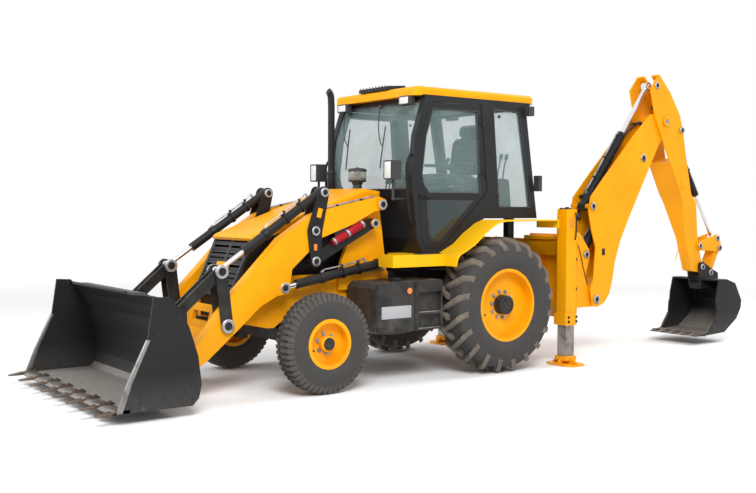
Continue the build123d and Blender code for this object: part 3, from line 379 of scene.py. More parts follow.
class Kit:
    """Shapes of one finish that ride one body, gathered into one mesh."""

    def __init__(self, name, body, material, sharp=32.0):
        self.name, self.body, self.material, self.sharp = name, body, material, sharp
        self.mesh = bmesh.new()

    def take(self, shape, bevel=0.0, limit=30.0):
        """Round a shape's edges and add it to the mesh."""
        if bevel:
            edges = [edge for edge in shape.edges if len(edge.link_faces) == 2
                     and edge.calc_face_angle(0.0) > math.radians(limit)]
            bmesh.ops.bevel(shape, geom=edges, offset=bevel, offset_type="OFFSET", segments=2,
                            profile=0.5, affect="EDGES", material=-1, clamp_overlap=True)
        bmesh.ops.recalc_face_normals(shape, faces=shape.faces)
        keep = bpy.data.meshes.new("shape")
        shape.to_mesh(keep)
        self.mesh.from_mesh(keep)
        bpy.data.meshes.remove(keep)
        shape.free()

    def block(self, middle, size, bevel=0.004, turn=None, taper=None):
        """A box about its middle; taper scales its top in x and y."""
        shape = unit_cube()
        bmesh.ops.scale(shape, vec=size, verts=shape.verts)
        if taper:
            top = [vert for vert in shape.verts if vert.co.z > 0]
            bmesh.ops.scale(shape, vec=(taper[0], taper[1], 1.0), verts=top)
        if turn:
            bmesh.ops.transform(shape, matrix=turn.to_4x4(), verts=shape.verts)
        bmesh.ops.translate(shape, vec=middle, verts=shape.verts)
        self.take(shape, bevel)

    def rod(self, start, end, radius, sides=24, bevel=0.0, radius_end=None):
        """A round bar between two points."""
        start, end = Vector(start), Vector(end)
        shape = bmesh.new()
        tip = radius if radius_end is None else radius_end
        bmesh.ops.create_cone(shape, cap_ends=True, segments=sides, radius1=radius, radius2=tip,
                              depth=(end - start).length)
        turn = (end - start).to_track_quat("Z", "Y").to_matrix().to_4x4()
        bmesh.ops.transform(shape, matrix=Matrix.Translation((start + end) / 2) @ turn,
                            verts=shape.verts)
        self.take(shape, bevel, limit=50.0)

    def spun(self, centre, axis, outline, steps=48):
        """A turned shape; outline is (along the axis, out from it), closed if it starts at the axis."""
        shape = bmesh.new()
        verts = [shape.verts.new((out, 0.0, along)) for along, out in outline]
        for first, second in zip(verts, verts[1:]):
            shape.edges.new((first, second))
        bmesh.ops.spin(shape, geom=shape.verts[:] + shape.edges[:], cent=(0, 0, 0), axis=(0, 0, 1),
                       angle=math.tau, steps=steps, use_merge=True)
        bmesh.ops.remove_doubles(shape, verts=shape.verts, dist=1e-5)
        turn = Vector(axis).to_track_quat("Z", "Y").to_matrix().to_4x4()
        bmesh.ops.transform(shape, matrix=Matrix.Translation(centre) @ turn, verts=shape.verts)
        self.take(shape)

    def plate(self, outline, middle_y, thickness, bevel=0.003):
        """A plate standing fore and aft; outline is (ahead of the rear axle, height)."""
        shape = bmesh.new()
        verts = [shape.verts.new(spot(ahead, height, middle_y - thickness / 2))
                 for ahead, height in outline]
        shape.faces.new(verts)
        made = bmesh.ops.extrude_face_region(shape, geom=shape.faces[:])
        grown = [item for item in made["geom"] if isinstance(item, bmesh.types.BMVert)]
        bmesh.ops.translate(shape, vec=(0, thickness, 0), verts=grown)
        self.take(shape, bevel)

    def pipe(self, points, radius, sides=10, smooth=True):
        """A bent pipe or hose through its points."""
        curve = bpy.data.curves.new("run", "CURVE")
        curve.dimensions = "3D"
        curve.bevel_depth = radius
        curve.bevel_resolution = max(1, sides // 4)
        curve.use_fill_caps = True
        curve.resolution_u = 6
        spline = curve.splines.new("NURBS" if smooth else "POLY")
        spline.points.add(len(points) - 1)
        for point, place in zip(spline.points, points):
            point.co = (*place, 1.0)
        if smooth:
            spline.order_u = 3
            spline.use_endpoint_u = True
        run = linked("run", curve)
        solid = finished_mesh(run)
        bpy.data.objects.remove(run)
        bpy.data.curves.remove(curve)
        shape = bmesh.new()
        shape.from_mesh(solid)
        bpy.data.meshes.remove(solid)
        bmesh.ops.remove_doubles(shape, verts=shape.verts, dist=1e-6)
        self.take(shape)

    def bolt(self, place, axis, radius=0.011, height=0.008):
        """A hexagon head on its washer."""
        place, axis = Vector(place), Vector(axis).normalized()
        self.rod(place, place + axis * height * 0.25, radius * 1.35, 16)
        self.rod(place, place + axis * height, radius, 6)

    def done(self, replaces=None):
        """Make the piece, tie it to its body and hide the plain node it stands for."""
        mesh = bpy.data.meshes.new(self.name)
        self.mesh.to_mesh(mesh)
        self.mesh.free()
        mesh.materials.append(self.material)
        mesh.polygons.foreach_set("use_smooth", [True] * len(mesh.polygons))
        mesh.set_sharp_from_angle(angle=math.radians(self.sharp))
        made = linked(self.name, mesh)
        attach(made, self.body)
        if replaces:
            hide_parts(replaces)
        return made


def lone_block(name, body, material, middle, size, bevel, turn=None, replaces=None):
    """A piece that is one block by itself."""
    kit = Kit(name, body, material)
    kit.block(middle, size, bevel, turn)
    kit.done(replaces)


# ------------------------------------------------------------------ wheels
def lug(kit, centre, sign, radius, base, turn_deg, reach, skew, thick, drop, steps):
    """One tread bar from near the crown round its shoulder; its verts start as a subdivided cube."""
    shape = unit_cube()
    for cut in range(1, steps):
        bmesh.ops.bisect_plane(shape, geom=shape.verts[:] + shape.edges[:] + shape.faces[:],
                               plane_co=(0, cut / steps - 0.5, 0), plane_no=(0, 1, 0))
    long_edges = [edge for edge in shape.edges if edge.calc_length() > 0.01
                  and all(vert.co.z > 0.4 for vert in edge.verts) and
                  abs(edge.verts[0].co.x - edge.verts[1].co.x) < 0.01]
    chamfer(shape, long_edges, 0.12, 1)
    for vert in shape.verts:
        along = vert.co.y + 0.5
        across = vert.co.x * thick * (0.86 if vert.co.z > 0.3 else 1.12) * (0.85 + 0.35 * along)
        out = reach[0] + (reach[1] - reach[0]) * along
        shoulder = max(0.0, along - 0.68) / 0.32
        crown = radius - 0.018 * along ** 2 - drop * shoulder ** 1.6
        foot = base - 0.012 - drop * 1.1 * shoulder ** 1.5
        height = foot + (crown - foot) * (vert.co.z + 0.5)
        sweep = math.radians(turn_deg) + (skew * along ** 1.2 + across) / radius
        vert.co = (height * math.sin(sweep), sign * out, height * math.cos(sweep))
    bmesh.ops.translate(shape, vec=centre, verts=shape.verts)
    kit.take(shape)


def tyre_wall(kit, centre, width, bead, base):
    """The carcass: beads, bulging walls with moulded rings, and the floor of the tread."""
    half = [(0.385, 0.0), (0.40, 0.035), (0.415, 0.06), (0.475, 0.22), (0.492, 0.26), (0.497, 0.36),
            (0.500, 0.48), (0.495, 0.60), (0.484, 0.64), (0.486, 0.68), (0.465, 0.80), (0.44, 0.88),
            (0.39, 0.955), (0.30, 0.985), (0.15, 0.998), (0.0, 1.0)]
    outline = [(out * width, bead + up * (base - bead)) for out, up in half]
    outline += [(-out, up) for out, up in reversed(outline[:-1])]
    kit.spun(centre, (0, 1, 0), outline, 96)


def tyre(axle, side, centre, width, bead, base, bars, rubber_used, rows):
    """A smooth carcass and its tread; each row of bars is staggered from one hand to the other."""
    body = f"{axle}_{side}_wheel"
    wall = Kit(f"{axle}_{side}_tyre_wall", body, tyre_rubber, 40.0)
    tyre_wall(wall, centre, width, bead, base)
    wall.done(f"{axle}_{side}_tyre")
    tread = Kit(f"{axle}_{side}_tyre_lugs", body, rubber_used, 40.0)
    for index in range(bars):
        for hand in (1, -1):
            angle = 360.0 / bars * (index + (0.5 if hand < 0 else 0.0))
            for crown, reach, skew, thick, drop, steps in rows:
                lug(tread, centre, hand, crown, base, angle, reach, skew, thick, drop, steps)
    tread.done()


def wheel_trim(axle, side, sign, centre, bead, face, hub_out, hub_radius, nuts, nut_circle):
    """The rim's hub cap, nuts and valve."""
    body = f"{axle}_{side}_wheel"
    out = Vector((0, sign, 0))
    cap = Kit(f"{axle}_{side}_hub_cap", body, black)
    cap.spun(centre, out, [(face - 0.004, hub_radius * 1.02), (hub_out - 0.03, hub_radius),
                           (hub_out - 0.008, hub_radius * 0.96), (hub_out, hub_radius * 0.86),
                           (hub_out, hub_radius * 0.5), (hub_out + 0.006, hub_radius * 0.45),
                           (hub_out + 0.006, 0.0)], 40)
    for index in range(4):
        angle = math.tau * (index + 0.3) / 4
        at = centre + Vector((math.sin(angle), 0, math.cos(angle))) * hub_radius * 0.68
        cap.bolt(at + out * hub_out, out, 0.009, 0.007)
    cap.done()
    trim = Kit(f"{axle}_{side}_wheel_nuts", body, steel)
    for index in range(nuts):
        angle = math.tau * index / nuts + 0.2
        at = centre + Vector((math.sin(angle), 0, math.cos(angle))) * nut_circle
        trim.rod(at + out * (face - 0.002), at + out * (face + 0.024), 0.010, 12)
        trim.bolt(at + out * face, out, 0.017, 0.016)
    trim.done()
    valve = Kit(f"{axle}_{side}_valve", body, black)
    at = centre + Vector((math.sin(1.9), 0, math.cos(1.9))) * (bead * 0.80)
    valve.rod(at + out * face, at + out * (face + 0.045), 0.008, 10)
    valve.rod(at + out * (face + 0.04), at + out * (face + 0.055), 0.011, 10)
    valve.spun(at, out, [(face, 0.020), (face + 0.004, 0.020), (face + 0.004, 0.010)], 20)
    valve.done()


# rows: crown radius, reach across from the middle, skew, thickness, shoulder drop, steps
REAR_ROWS = [(0.706, (-0.018, 0.207), -0.150, 0.062, 0.080, 4)]
FRONT_ROWS = [(0.4645, (0.048, 0.118), 0.010, 0.036, 0.048, 4),
              (0.4655, (0.006, 0.040), 0.022, 0.040, 0.0, 1)]
for side, sign in SIDES:
    rear_hub, front_hub = spot(0.0, 0.707, sign * 0.896), spot(WHEELBASE, 0.466, sign * 0.9175)
    tyre("rear", side, rear_hub, 0.43, 0.3575, 0.655, 20, tread_rubber, REAR_ROWS)
    tyre("front", side, front_hub, 0.25, 0.2085, 0.448, 50, road_rubber, FRONT_ROWS)
    wheel_trim("rear", side, sign, rear_hub, 0.357, 0.070, 0.172, 0.100, 10, 0.140)
    wheel_trim("front", side, sign, front_hub, 0.208, 0.020, 0.105, 0.062, 6, 0.088)

# ------------------------------------------------------------------ loader fittings
ARM_PIVOT, LINK_HEAD, LIFT_BASE = (1.281, 1.743), (1.363, 1.556), (1.269, 1.151)
CRANK_PIVOT, TILT_BASE, LINK_FOOT = (2.068, 1.490), (1.966, 1.856), (2.056, 1.201)
LEVER_FOOT, TILT_EYE = (2.997, 0.647), (3.056, 1.138)
BUCKET_HINGE, LIFT_EYE = (3.360, 0.345), (2.385, 0.960)
PIN_HEADS = [
    # body, pin, outer face, inner face, radius
    ("machine", ARM_PIVOT, 0.622, None, 0.050),
    ("machine", LINK_HEAD, 0.612, None, 0.042),
    ("machine", LIFT_BASE, 0.612, None, 0.044),
    ("bell_cranks", CRANK_PIVOT, 0.622, 0.448, 0.045),
    ("bell_cranks", TILT_BASE, 0.623, 0.447, 0.044),
    ("bell_cranks", LINK_FOOT, 0.610, 0.460, 0.046),
    ("lever_pins", LEVER_FOOT, 0.623, 0.447, 0.062),
    ("tipping_pins", TILT_EYE, 0.623, 0.447, 0.062),
    ("bucket_pins", BUCKET_HINGE, 0.623, 0.443, 0.062),
    ("loader_arms", LIFT_EYE, 0.590, 0.480, 0.050),
]
for body, pin, outer, inner, radius in PIN_HEADS:
    ring = Kit(f"{body}_pin_ring_{int(pin[0] * 1000)}", body, steel)
    core = Kit(f"{body}_pin_core_{int(pin[0] * 1000)}", body, black)
    for sign in (1, -1):
        for face, way in ((outer, 1), (inner, -1)):
            if face is None:
                continue
            at = spot(*pin, sign * face)
            out = (0, sign * way, 0)
            ring.spun(at, out, [(-0.002, radius), (0.006, radius), (0.009, radius * 0.93),
                                (0.009, radius * 0.62), (0.003, radius * 0.58)], 36)
            core.spun(at, out, [(-0.002, radius * 0.60), (0.006, radius * 0.56), (0.007, radius * 0.2),
                                (0.012, radius * 0.15), (0.013, 0.0)], 24)
    ring.done()
    core.done()

# ------------------------------------------------------------------ hydraulics of the loader
def fitting(kit, place, axis, radius=0.016, length=0.03):
    """A hose end: nut and collar."""
    place, axis = Vector(place), Vector(axis).normalized()
    kit.rod(place, place + axis * length * 0.5, radius, 6)
    kit.rod(place + axis * length * 0.5, place + axis * length, radius * 0.78, 12)


def gland(kit, end, way, radius, length=0.045):
    """The screwed head of a ram, standing proud of its barrel."""
    end, way = Vector(end), Vector(way).normalized()
    kit.spun(end, way, [(-length, radius * 0.99), (-length, radius * 1.07), (-0.008, radius * 1.07),
                        (0.0, radius * 1.0), (0.004, radius * 0.8), (0.004, radius * 0.62)], 32)


def ram_trim(name, body, foot, eye, barrel, radius, away):
    """Gland, feed pipe and its clips on one ram; away points off the barrel."""
    foot, eye, away = Vector(foot), Vector(eye), Vector(away).normalized()
    way = (eye - foot).normalized()
    end = foot + way * barrel
    head = Kit(f"{name}_gland", body, black)
    gland(head, end, way, radius)
    head.done()
    feed = Kit(f"{name}_feed_pipe", body, steel)
    low, high = foot + way * 0.16, end - way * 0.03
    gap = away * (radius + 0.018)
    feed.pipe([low + away * radius * 0.8, low + gap * 1.25, low + way * 0.03 + gap * 1.25,
               low + way * 0.09 + gap, high - way * 0.08 + gap, high - way * 0.02 + gap * 1.1,
               high + away * radius * 0.8], 0.009)
    fitting(feed, high + away * radius * 0.95, away, 0.016, 0.02)
    fitting(feed, low + away * radius * 0.95, away, 0.016, 0.02)
    feed.done()
    clips = Kit(f"{name}_pipe_clips", body, black)
    for share in (0.35, 0.62):
        at = foot + way * barrel * share
        clips.spun(at, way, [(-0.012, radius * 0.98), (-0.012, radius + 0.004), (0.012, radius + 0.004),
                             (0.012, radius * 0.98)], 32)
        clips.block(at + gap, (0.028, 0.028, 0.022), 0.004, way.to_track_quat("Z", "Y").to_matrix())
    clips.done()


for side, sign in SIDES:
    ram_trim(f"{side}_lift_ram", "lift_barrels", spot(*LIFT_BASE, sign * ARM_Y),
             spot(*LIFT_EYE, sign * ARM_Y), 0.71, 0.052, (0.15, 0, 1))
    ram_trim(f"{side}_tilt_ram", "tilt_barrels", spot(*TILT_BASE, sign * ARM_Y),
             spot(*TILT_EYE, sign * ARM_Y), 0.74, 0.050, (0.3, 0, 1))

# crimson stay clamped along the left levelling link
stay = Kit("left_transport_stay", "levelling_links", red_strut)
start, end = spot(*LINK_HEAD, ARM_Y + 0.047), spot(*LINK_FOOT, ARM_Y + 0.047)
way = (end - start).normalized()
rise = Vector((-way.z, 0, way.x)) * 0.058
for low, high in ((0.16, 0.40), (0.44, 0.66)):
    a, b = start + (end - start) * low + rise, start + (end - start) * high + rise
    stay.rod(a, b, 0.040, 32, 0.006)
    stay.rod(a - way * 0.012, a, 0.028, 24)
    stay.rod(b, b + way * 0.012, 0.028, 24)
stay.done()
bands = Kit("left_stay_clamps", "levelling_links", steel)
for share in (0.175, 0.42, 0.645):
    at = start + (end - start) * share + rise
    bands.rod(at - way * 0.012, at + way * 0.012, 0.0425, 32)
    bands.bolt(at + Vector((0, 0.041, 0)), (0, 1, 0), 0.008, 0.008)
bands.done()

# steel lines up the tower and hoses across to the rams
for side, sign in SIDES:
    lines = Kit(f"{side}_tower_lines", "machine", steel)
    hoses = Kit(f"{side}_tower_hoses", "machine", plastic)
    inner = 0.395
    for index in range(3):
        gap = index * 0.026
        hoses.pipe([spot(1.16 + gap, 1.07, sign * inner), spot(1.17 + gap, 1.28, sign * inner),
                    spot(1.19 + gap, 1.45, sign * (inner - 0.01)),
                    spot(1.25 + gap, 1.62, sign * (inner + 0.005))], 0.011)
    lines.pipe([spot(1.11, 1.075, sign * 0.44), spot(1.20, 1.09, sign * 0.47),
                spot(1.30, 1.078, sign * 0.475), spot(1.5, 1.072, sign * 0.475)], 0.008)
    hoses.done()
    lines.done()

# ------------------------------------------------------------------ hood, nose, stack and tanks
def seam(kit, outline, y):
    """A rubber bead round an opening in a side face."""
    points = side_run(y, *outline)
    kit.pipe(points + [points[0]], 0.008, 8, smooth=False)


for side, sign in SIDES:
    seal = Kit(f"{side}_hood_seal", "machine", plastic)
    seal.plate([(1.135, 1.545), (1.135, 1.562), (1.95, 1.562), (2.625, 1.397), (2.612, 1.382),
                (1.95, 1.545)], sign * 0.386, 0.022, 0.003)
    seal.done()
    latch = Kit(f"{side}_hood_latches", "machine", black)
    for ahead, height in ((1.45, 1.60), (2.15, 1.55)):
        latch.block(spot(ahead, height, sign * 0.399), (0.05, 0.012, 0.03), 0.004)
        latch.bolt(spot(ahead + 0.012, height, sign * 0.404), (0, sign, 0), 0.007, 0.006)
    latch.done()
    line = Kit(f"{side}_hood_crease", "machine", yellow)
    line.plate([(1.16, 1.700), (1.16, 1.712), (2.02, 1.598), (2.50, 1.468), (2.49, 1.456),
                (2.02, 1.586)], sign * 0.394, 0.010, 0.003)
    line.done()

nose = Kit("nose_slats", "machine", plastic)
low, high = Vector((2.835, 0.0, 0.905)), Vector((2.620, 0.0, 1.365))
run = high - low
lean = math.atan2(run.x, run.z)
tilt = Matrix.Rotation(lean, 3, "Y")
for index in range(13):
    at = low + run * (index + 0.5) / 13
    nose.block(spot(at.x + 0.004, at.z), (0.016, 0.69, 0.012), 0.003, tilt)
for across in (-0.355, 0.0, 0.355):
    middle = (low + high) / 2
    nose.block(spot(middle.x + 0.006, middle.z, across), (0.020, 0.03, run.length), 0.004, tilt)
nose.done()
lone_block("nose_blank_plate", "machine", yellow, spot(2.742, 1.135), (0.008, 0.26, 0.12), 0.003, tilt)

stack = Kit("bent_stack", "machine", black)
stack.rod(spot(1.26, 1.903, -0.34), spot(1.26, 2.10, -0.34), 0.045, 32, 0.004)
stack.pipe(side_run(-0.34, (1.26, 2.08), (1.26, 2.3), (1.26, 2.6), (1.26, 2.82), (1.27, 2.93),
                           (1.30, 2.945)), 0.037, 24)
stack.rod(spot(1.26, 2.06, -0.34), spot(1.26, 2.085, -0.34), 0.050, 32, 0.003)
stack.rod(spot(1.26, 1.905, -0.34), spot(1.26, 1.915, -0.34), 0.075, 32, 0.003)
stack.done("exhaust_stack")

cleaner = Kit("precleaner_cap_and_neck", "machine", plastic)
centre = spot(1.22, 1.897, 0.09)
cleaner.spun(centre, (0, 0, 1), [(0.0, 0.070), (0.012, 0.070), (0.014, 0.048), (0.05, 0.047),
                                 (0.058, 0.056), (0.075, 0.056), (0.080, 0.088), (0.095, 0.0955),
                                 (0.098, 0.0955), (0.098, 0.090)], 40)
cleaner.spun(centre, (0, 0, 1), [(0.188, 0.090), (0.188, 0.0975), (0.204, 0.0975), (0.216, 0.085),
                                 (0.222, 0.05), (0.224, 0.0)], 40)
cleaner.rod(centre + Vector((0, 0, 0.222)), centre + Vector((0, 0, 0.232)), 0.012, 6)
cleaner.done("air_precleaner")
bowl = Kit("precleaner_bowl", "machine", bowl_clear)
bowl.spun(centre, (0, 0, 1), [(0.098, 0.091), (0.110, 0.094), (0.175, 0.094), (0.188, 0.091)], 40)
bowl.done()
dust_heap = Kit("precleaner_dust", "machine", tank_dark)
dust_heap.spun(centre, (0, 0, 1), [(0.099, 0.088), (0.125, 0.087), (0.135, 0.05), (0.128, 0.0)], 32)
dust_heap.spun(centre, (0, 0, 1), [(0.10, 0.03), (0.186, 0.03)], 16)
dust_heap.done()

for side, sign in SIDES:
    tank = Kit(f"{side}_tank_fittings", "machine", black)
    for ahead in (1.10, 1.57):
        tank.block(spot(ahead, 0.75, sign * 0.933), (0.034, 0.010, 0.46), 0.003)
        for height in (0.55, 0.95):
            tank.bolt(spot(ahead, height, sign * 0.938), (0, sign, 0), 0.011, 0.009)
    tank.pipe([spot(1.12, 0.52, sign * 0.90), spot(1.12, 0.50, sign * 0.915),
               spot(1.55, 0.50, sign * 0.915), spot(1.55, 0.52, sign * 0.90)], 0.012)
    for index in range(8):
        angle = math.tau * index / 8
        at = spot(1.25 + 0.05 * math.cos(angle), 1.008, sign * 0.80 + 0.05 * math.sin(angle))
        tank.rod(at - Vector((0, 0, 0.014)), at + Vector((0, 0, 0.014)), 0.008, 10)
    tank.done()
    treads = Kit(f"{side}_step_treads", "machine", steel)
    for height in (0.522, 0.682):
        for row in range(3):
            treads.block(spot(0.92, height, sign * (0.898 + 0.012 * row)), (0.27, 0.006, 0.008), 0.002)
    treads.done()
    lone_block(f"{side}_blank_tank_plate", "machine", pale, spot(1.34, 0.70, sign * 0.9325),
               (0.36, 0.005, 0.12), 0.002)
    reflector = Kit(f"{side}_tank_reflector", "machine", amber)
    reflector.spun(spot(1.18, 0.90, sign * 0.930), (0, sign, 0),
                   [(0.0, 0.030), (0.006, 0.030), (0.010, 0.024), (0.011, 0.0)], 28)
    reflector.done()

# fender lips and platform tread
for side, sign in SIDES:
    # the lip takes the fenders' lighter yellow, a painted highlight
    lip = Kit(f"{side}_fender_lip", "machine", fender_highlight_yellow)
    lip.pipe([spot(ahead, height, sign * 1.081) for ahead, height in
              ((0.712, 1.14), (0.699, 1.228), (0.60, 1.276), (0.475, 1.338), (0.346, 1.443),
               (0.192, 1.541), (0.09, 1.580), (-0.2, 1.582), (-0.72, 1.582))], 0.008, 8)
    lip.done()
    mat = Kit(f"{side}_platform_tread", "machine", plastic)
    mat.block(spot(0.88, 1.2515, sign * 0.84), (0.30, 0.105, 0.006), 0.002)
    for row in range(7):
        for column in range(3):
            mat.rod(spot(0.76 + row * 0.04, 1.253, sign * (0.80 + column * 0.04)),
                    spot(0.76 + row * 0.04, 1.257, sign * (0.80 + column * 0.04)), 0.011, 12)
    mat.done()

# ------------------------------------------------------------------ cab
DOOR_WINDOW = [(0.160, 2.715), (0.755, 2.715), (0.845, 2.430), (0.893, 2.050), (0.870, 1.950),
               (0.800, 1.865), (0.110, 1.865)]
QUARTER = [(-0.060, 2.750), (-0.440, 2.735), (-0.620, 1.720), (-0.150, 1.720)]
LOWER_PANEL = [(0.835, 1.79), (0.800, 1.44), (0.765, 1.37), (0.66, 1.37), (0.20, 1.79)]
for side, sign in SIDES:
    door = f"{side}_door"
    beads = Kit(f"{side}_door_seals", door, plastic)
    seam(beads, DOOR_WINDOW, sign * 0.752)
    beads.plate(LOWER_PANEL, sign * 0.7545, 0.008, 0.003)
    beads.done()
    glassy = Kit(f"{side}_door_lower_light", door, dark_pane)
    inset = [(0.815, 1.775), (0.783, 1.452), (0.755, 1.390), (0.672, 1.390), (0.245, 1.775)]
    glassy.plate(inset, sign * 0.7585, 0.004, 0.001)
    glassy.done()
    hinge_kit = Kit(f"{side}_door_hinges", door, black)
    for height in (2.60, 2.05):
        for rise in (-0.013, 0.013):
            hinge_kit.bolt(spot(0.135, height + rise, sign * 0.7595), (0, sign, 0), 0.007, 0.006)
    hinge_kit.block(spot(0.862, 1.825, sign * 0.760), (0.13, 0.014, 0.055), 0.006)
    hinge_kit.block(spot(0.835, 1.825, sign * 0.774), (0.085, 0.016, 0.028), 0.006)
    hinge_kit.rod(spot(0.905, 1.825, sign * 0.765), spot(0.905, 1.825, sign * 0.775), 0.014, 20, 0.002)
    hinge_kit.done()
    rails = Kit(f"{side}_cab_side_trim", "machine", plastic)
    seam(rails, QUARTER, sign * 0.760)
    for low, high in ((1.78, 1.90), (2.62, 2.74)):
        middle = (low + high) / 2
        rails.rod(spot(-0.14, middle, sign * 0.760), spot(-0.14, middle, sign * 0.772), 0.018, 16,
                  0.002)
    rails.done()
    grab = Kit(f"{side}_grab_rail", "machine", black)
    grab.pipe([spot(0.985, 1.55, sign * 0.72), spot(1.02, 1.57, sign * 0.735),
               spot(1.055, 1.75, sign * 0.735), spot(1.075, 2.05, sign * 0.735),
               spot(1.065, 2.22, sign * 0.735), spot(1.00, 2.25, sign * 0.72)], 0.013)
    grab.done()
    lights = Kit(f"{side}_lamp_faces", "machine", lens)
    lights.block(spot(1.2655, 2.086, sign * 0.68), (0.008, 0.108, 0.165), 0.003)
    lights.block(spot(0.9765, 2.797, sign * 0.558), (0.008, 0.148, 0.068), 0.003)
    lights.block(spot(-0.6865, 2.797, sign * 0.60), (0.008, 0.118, 0.068), 0.003)
    lights.done()
    bezels = Kit(f"{side}_lamp_bezels", "machine", plastic)
    for ahead, height, out, wide, tall in ((1.266, 2.086, 0.68, 0.126, 0.186),
                                           (0.976, 2.797, 0.558, 0.166, 0.086),
                                           (-0.686, 2.797, 0.60, 0.136, 0.086)):
        for up in (-1, 1):
            bezels.block(spot(ahead, height + up * (tall - 0.01) / 2, sign * out), (0.014, wide, 0.010),
                         0.003)
            bezels.block(spot(ahead, height, sign * out + up * (wide - 0.01) / 2), (0.014, 0.010, tall),
                         0.003)
    bezels.done()
    tail = Kit(f"{side}_tail_lamp", "machine", plastic)
    for rise in (-0.05, 0.05):
        tail.bolt(spot(-0.66, 1.979 + rise, sign * 0.8505), (0, sign, 0), 0.008, 0.006)
    tail.block(spot(-0.585, 2.755, sign * 0.806), (0.008, 0.070, 0.080), 0.003)
    tail.done()
    for name, material, height, tall in (("tail", amber, 2.02, 0.06), ("stop", ruby, 1.945, 0.07)):
        lone_block(f"{side}_{name}_lens", "machine", material, spot(-0.712, height, sign * 0.80),
                   (0.006, 0.085, tall), 0.002)

wipers = Kit("wipers", "machine", plastic)
for out, foot_out, tip_z in ((0.22, 0.05, 2.22), (-0.42, -0.60, 2.30)):
    lean = (2.77 - tip_z)
    wipers.rod(spot(0.880, 2.775, foot_out), spot(0.905, 2.775, foot_out), 0.022, 20, 0.003)
    wipers.pipe([spot(0.905, 2.775, foot_out), spot(0.925, 2.70, foot_out + 0.01),
                 spot(0.985, 2.45, (out + foot_out) / 2), spot(1.000, 2.36, out * 0.95)], 0.006)
    wipers.pipe([spot(0.957, 2.56, out * 1.02), spot(0.990, 2.38, out * 1.0),
                 spot(1.022, 2.12, out * 0.98)], 0.007, 8)
wipers.done()
screen = Kit("windscreen_seal", "machine", plastic)
corners = [(0.861, 2.790, 0.69), (1.018, 2.145, 0.69), (1.014, 1.90, 0.69)]
loop = [spot(ahead, height, out) for ahead, height, out in corners]
loop += [Vector((point.x, -point.y, point.z)) for point in reversed(loop)]
screen.pipe(loop + [loop[0]], 0.010, 8, smooth=False)
screen.done()

# roof: drip rail and the cooler's intake
drip = Kit("roof_drip_rail", "machine", black)
drip.block(spot(0.13, 2.842, 0.735), (1.50, 0.02, 0.018), 0.004)
drip.block(spot(0.13, 2.842, -0.735), (1.50, 0.02, 0.018), 0.004)
drip.done()
vent = Kit("roof_vent_slats", "machine", plastic)
for index in range(9):
    vent.block(spot(0.9625, 2.963, -0.22 + index * 0.055), (0.008, 0.012, 0.040), 0.002)
vent.done()

wheel = Kit("steering_wheel", "machine", plastic)
axis = (spot(0.560, 2.120) - spot(0.740, 1.380)).normalized()
hub = spot(0.740, 1.380) + axis * 0.772
turned_axis = axis.to_track_quat("Z", "Y").to_matrix()
wheel.spun(hub, axis, [(0.016 * math.sin(a), 0.175 + 0.016 * math.cos(a)) for a in
                       [math.tau * k / 12 for k in range(13)]], 48)
for index in range(3):
    angle = math.tau * index / 3 + 0.5
    way = turned_axis @ Vector((math.cos(angle), math.sin(angle), 0))
    wheel.rod(hub - axis * 0.02, hub + way * 0.165, 0.013, 12, radius_end=0.010)
wheel.rod(hub - axis * 0.05, hub + axis * 0.012, 0.045, 24, 0.006)
wheel.rod(hub - axis * 0.76, hub - axis * 0.05, 0.040, 24)
wheel.block(spot(0.715, 1.358), (0.21, 0.38, 0.12), 0.03)
for out in (-0.26, -0.20, 0.22):
    wheel.pipe(side_run(out, (0.60, 1.66), (0.61, 1.85), (0.58, 1.98)), 0.008)
    wheel.rod(spot(0.58, 1.97, out), spot(0.57, 2.03, out), 0.018, 16, 0.005)
wheel.done("controls")
inner_trim = Kit("cab_consoles", "machine", plastic)
for sign in (1, -1):
    inner_trim.block(spot(-0.10, 1.84, sign * 0.55), (0.70, 0.22, 0.38), 0.03, taper=(0.94, 0.8))
    for index in range(2):
        foot = spot(-0.45 + index * 0.08, 2.03, sign * 0.50)
        inner_trim.pipe([foot, foot + Vector((-0.01, 0, 0.12)), foot + Vector((-0.05, 0, 0.22))], 0.008)
        inner_trim.rod(foot + Vector((-0.045, 0, 0.21)), foot + Vector((-0.06, 0, 0.27)), 0.019, 16,
                       0.005)
inner_trim.done()

# ------------------------------------------------------------------ backhoe fittings
BOOM_FOOT, BOOM_RAM_BASE, BOOM_RAM_EYE = (-1.738, 0.649), (-1.615, 1.173), (-2.554, 2.316)
DIPPER_RAM_BASE, DIPPER_RAM_EYE, DIPPER_PIVOT = (-1.663, 1.732), (-2.760, 3.202), (-2.940, 2.771)
BUCKET_RAM_BASE, BUCKET_RAM_EYE = (-3.236, 2.683), (-4.128, 1.322)
HOE_HINGE, CURL_LEVER_FOOT = (-3.80, 0.956), (-3.75, 1.23)
CURL_LEVER_END, BUCKET_EAR = (-4.165, 1.195), (-3.990, 0.875)
HOE_PINS = [
    # body, pin, out from the hoe's middle, radius
    ("boom", BOOM_FOOT, 0.154, 0.050),
    ("boom", DIPPER_RAM_BASE, 0.154, 0.044),
    ("boom", BOOM_RAM_EYE, 0.142, 0.048),
    ("kingpost", BOOM_RAM_BASE, 0.104, 0.045),
    ("dipper", DIPPER_PIVOT, 0.182, 0.060),
    ("dipper", DIPPER_RAM_EYE, 0.168, 0.044),
    ("dipper", BUCKET_RAM_BASE, 0.182, 0.040),
    ("dipper", CURL_LEVER_FOOT, 0.104, 0.036),
    ("dipper", HOE_HINGE, 0.108, 0.040),
    ("hoe_lever", BUCKET_RAM_EYE, 0.092, 0.040),
    ("hoe_link", CURL_LEVER_END, 0.104, 0.038),
    ("hoe_bucket", BUCKET_EAR, 0.096, 0.040),
]
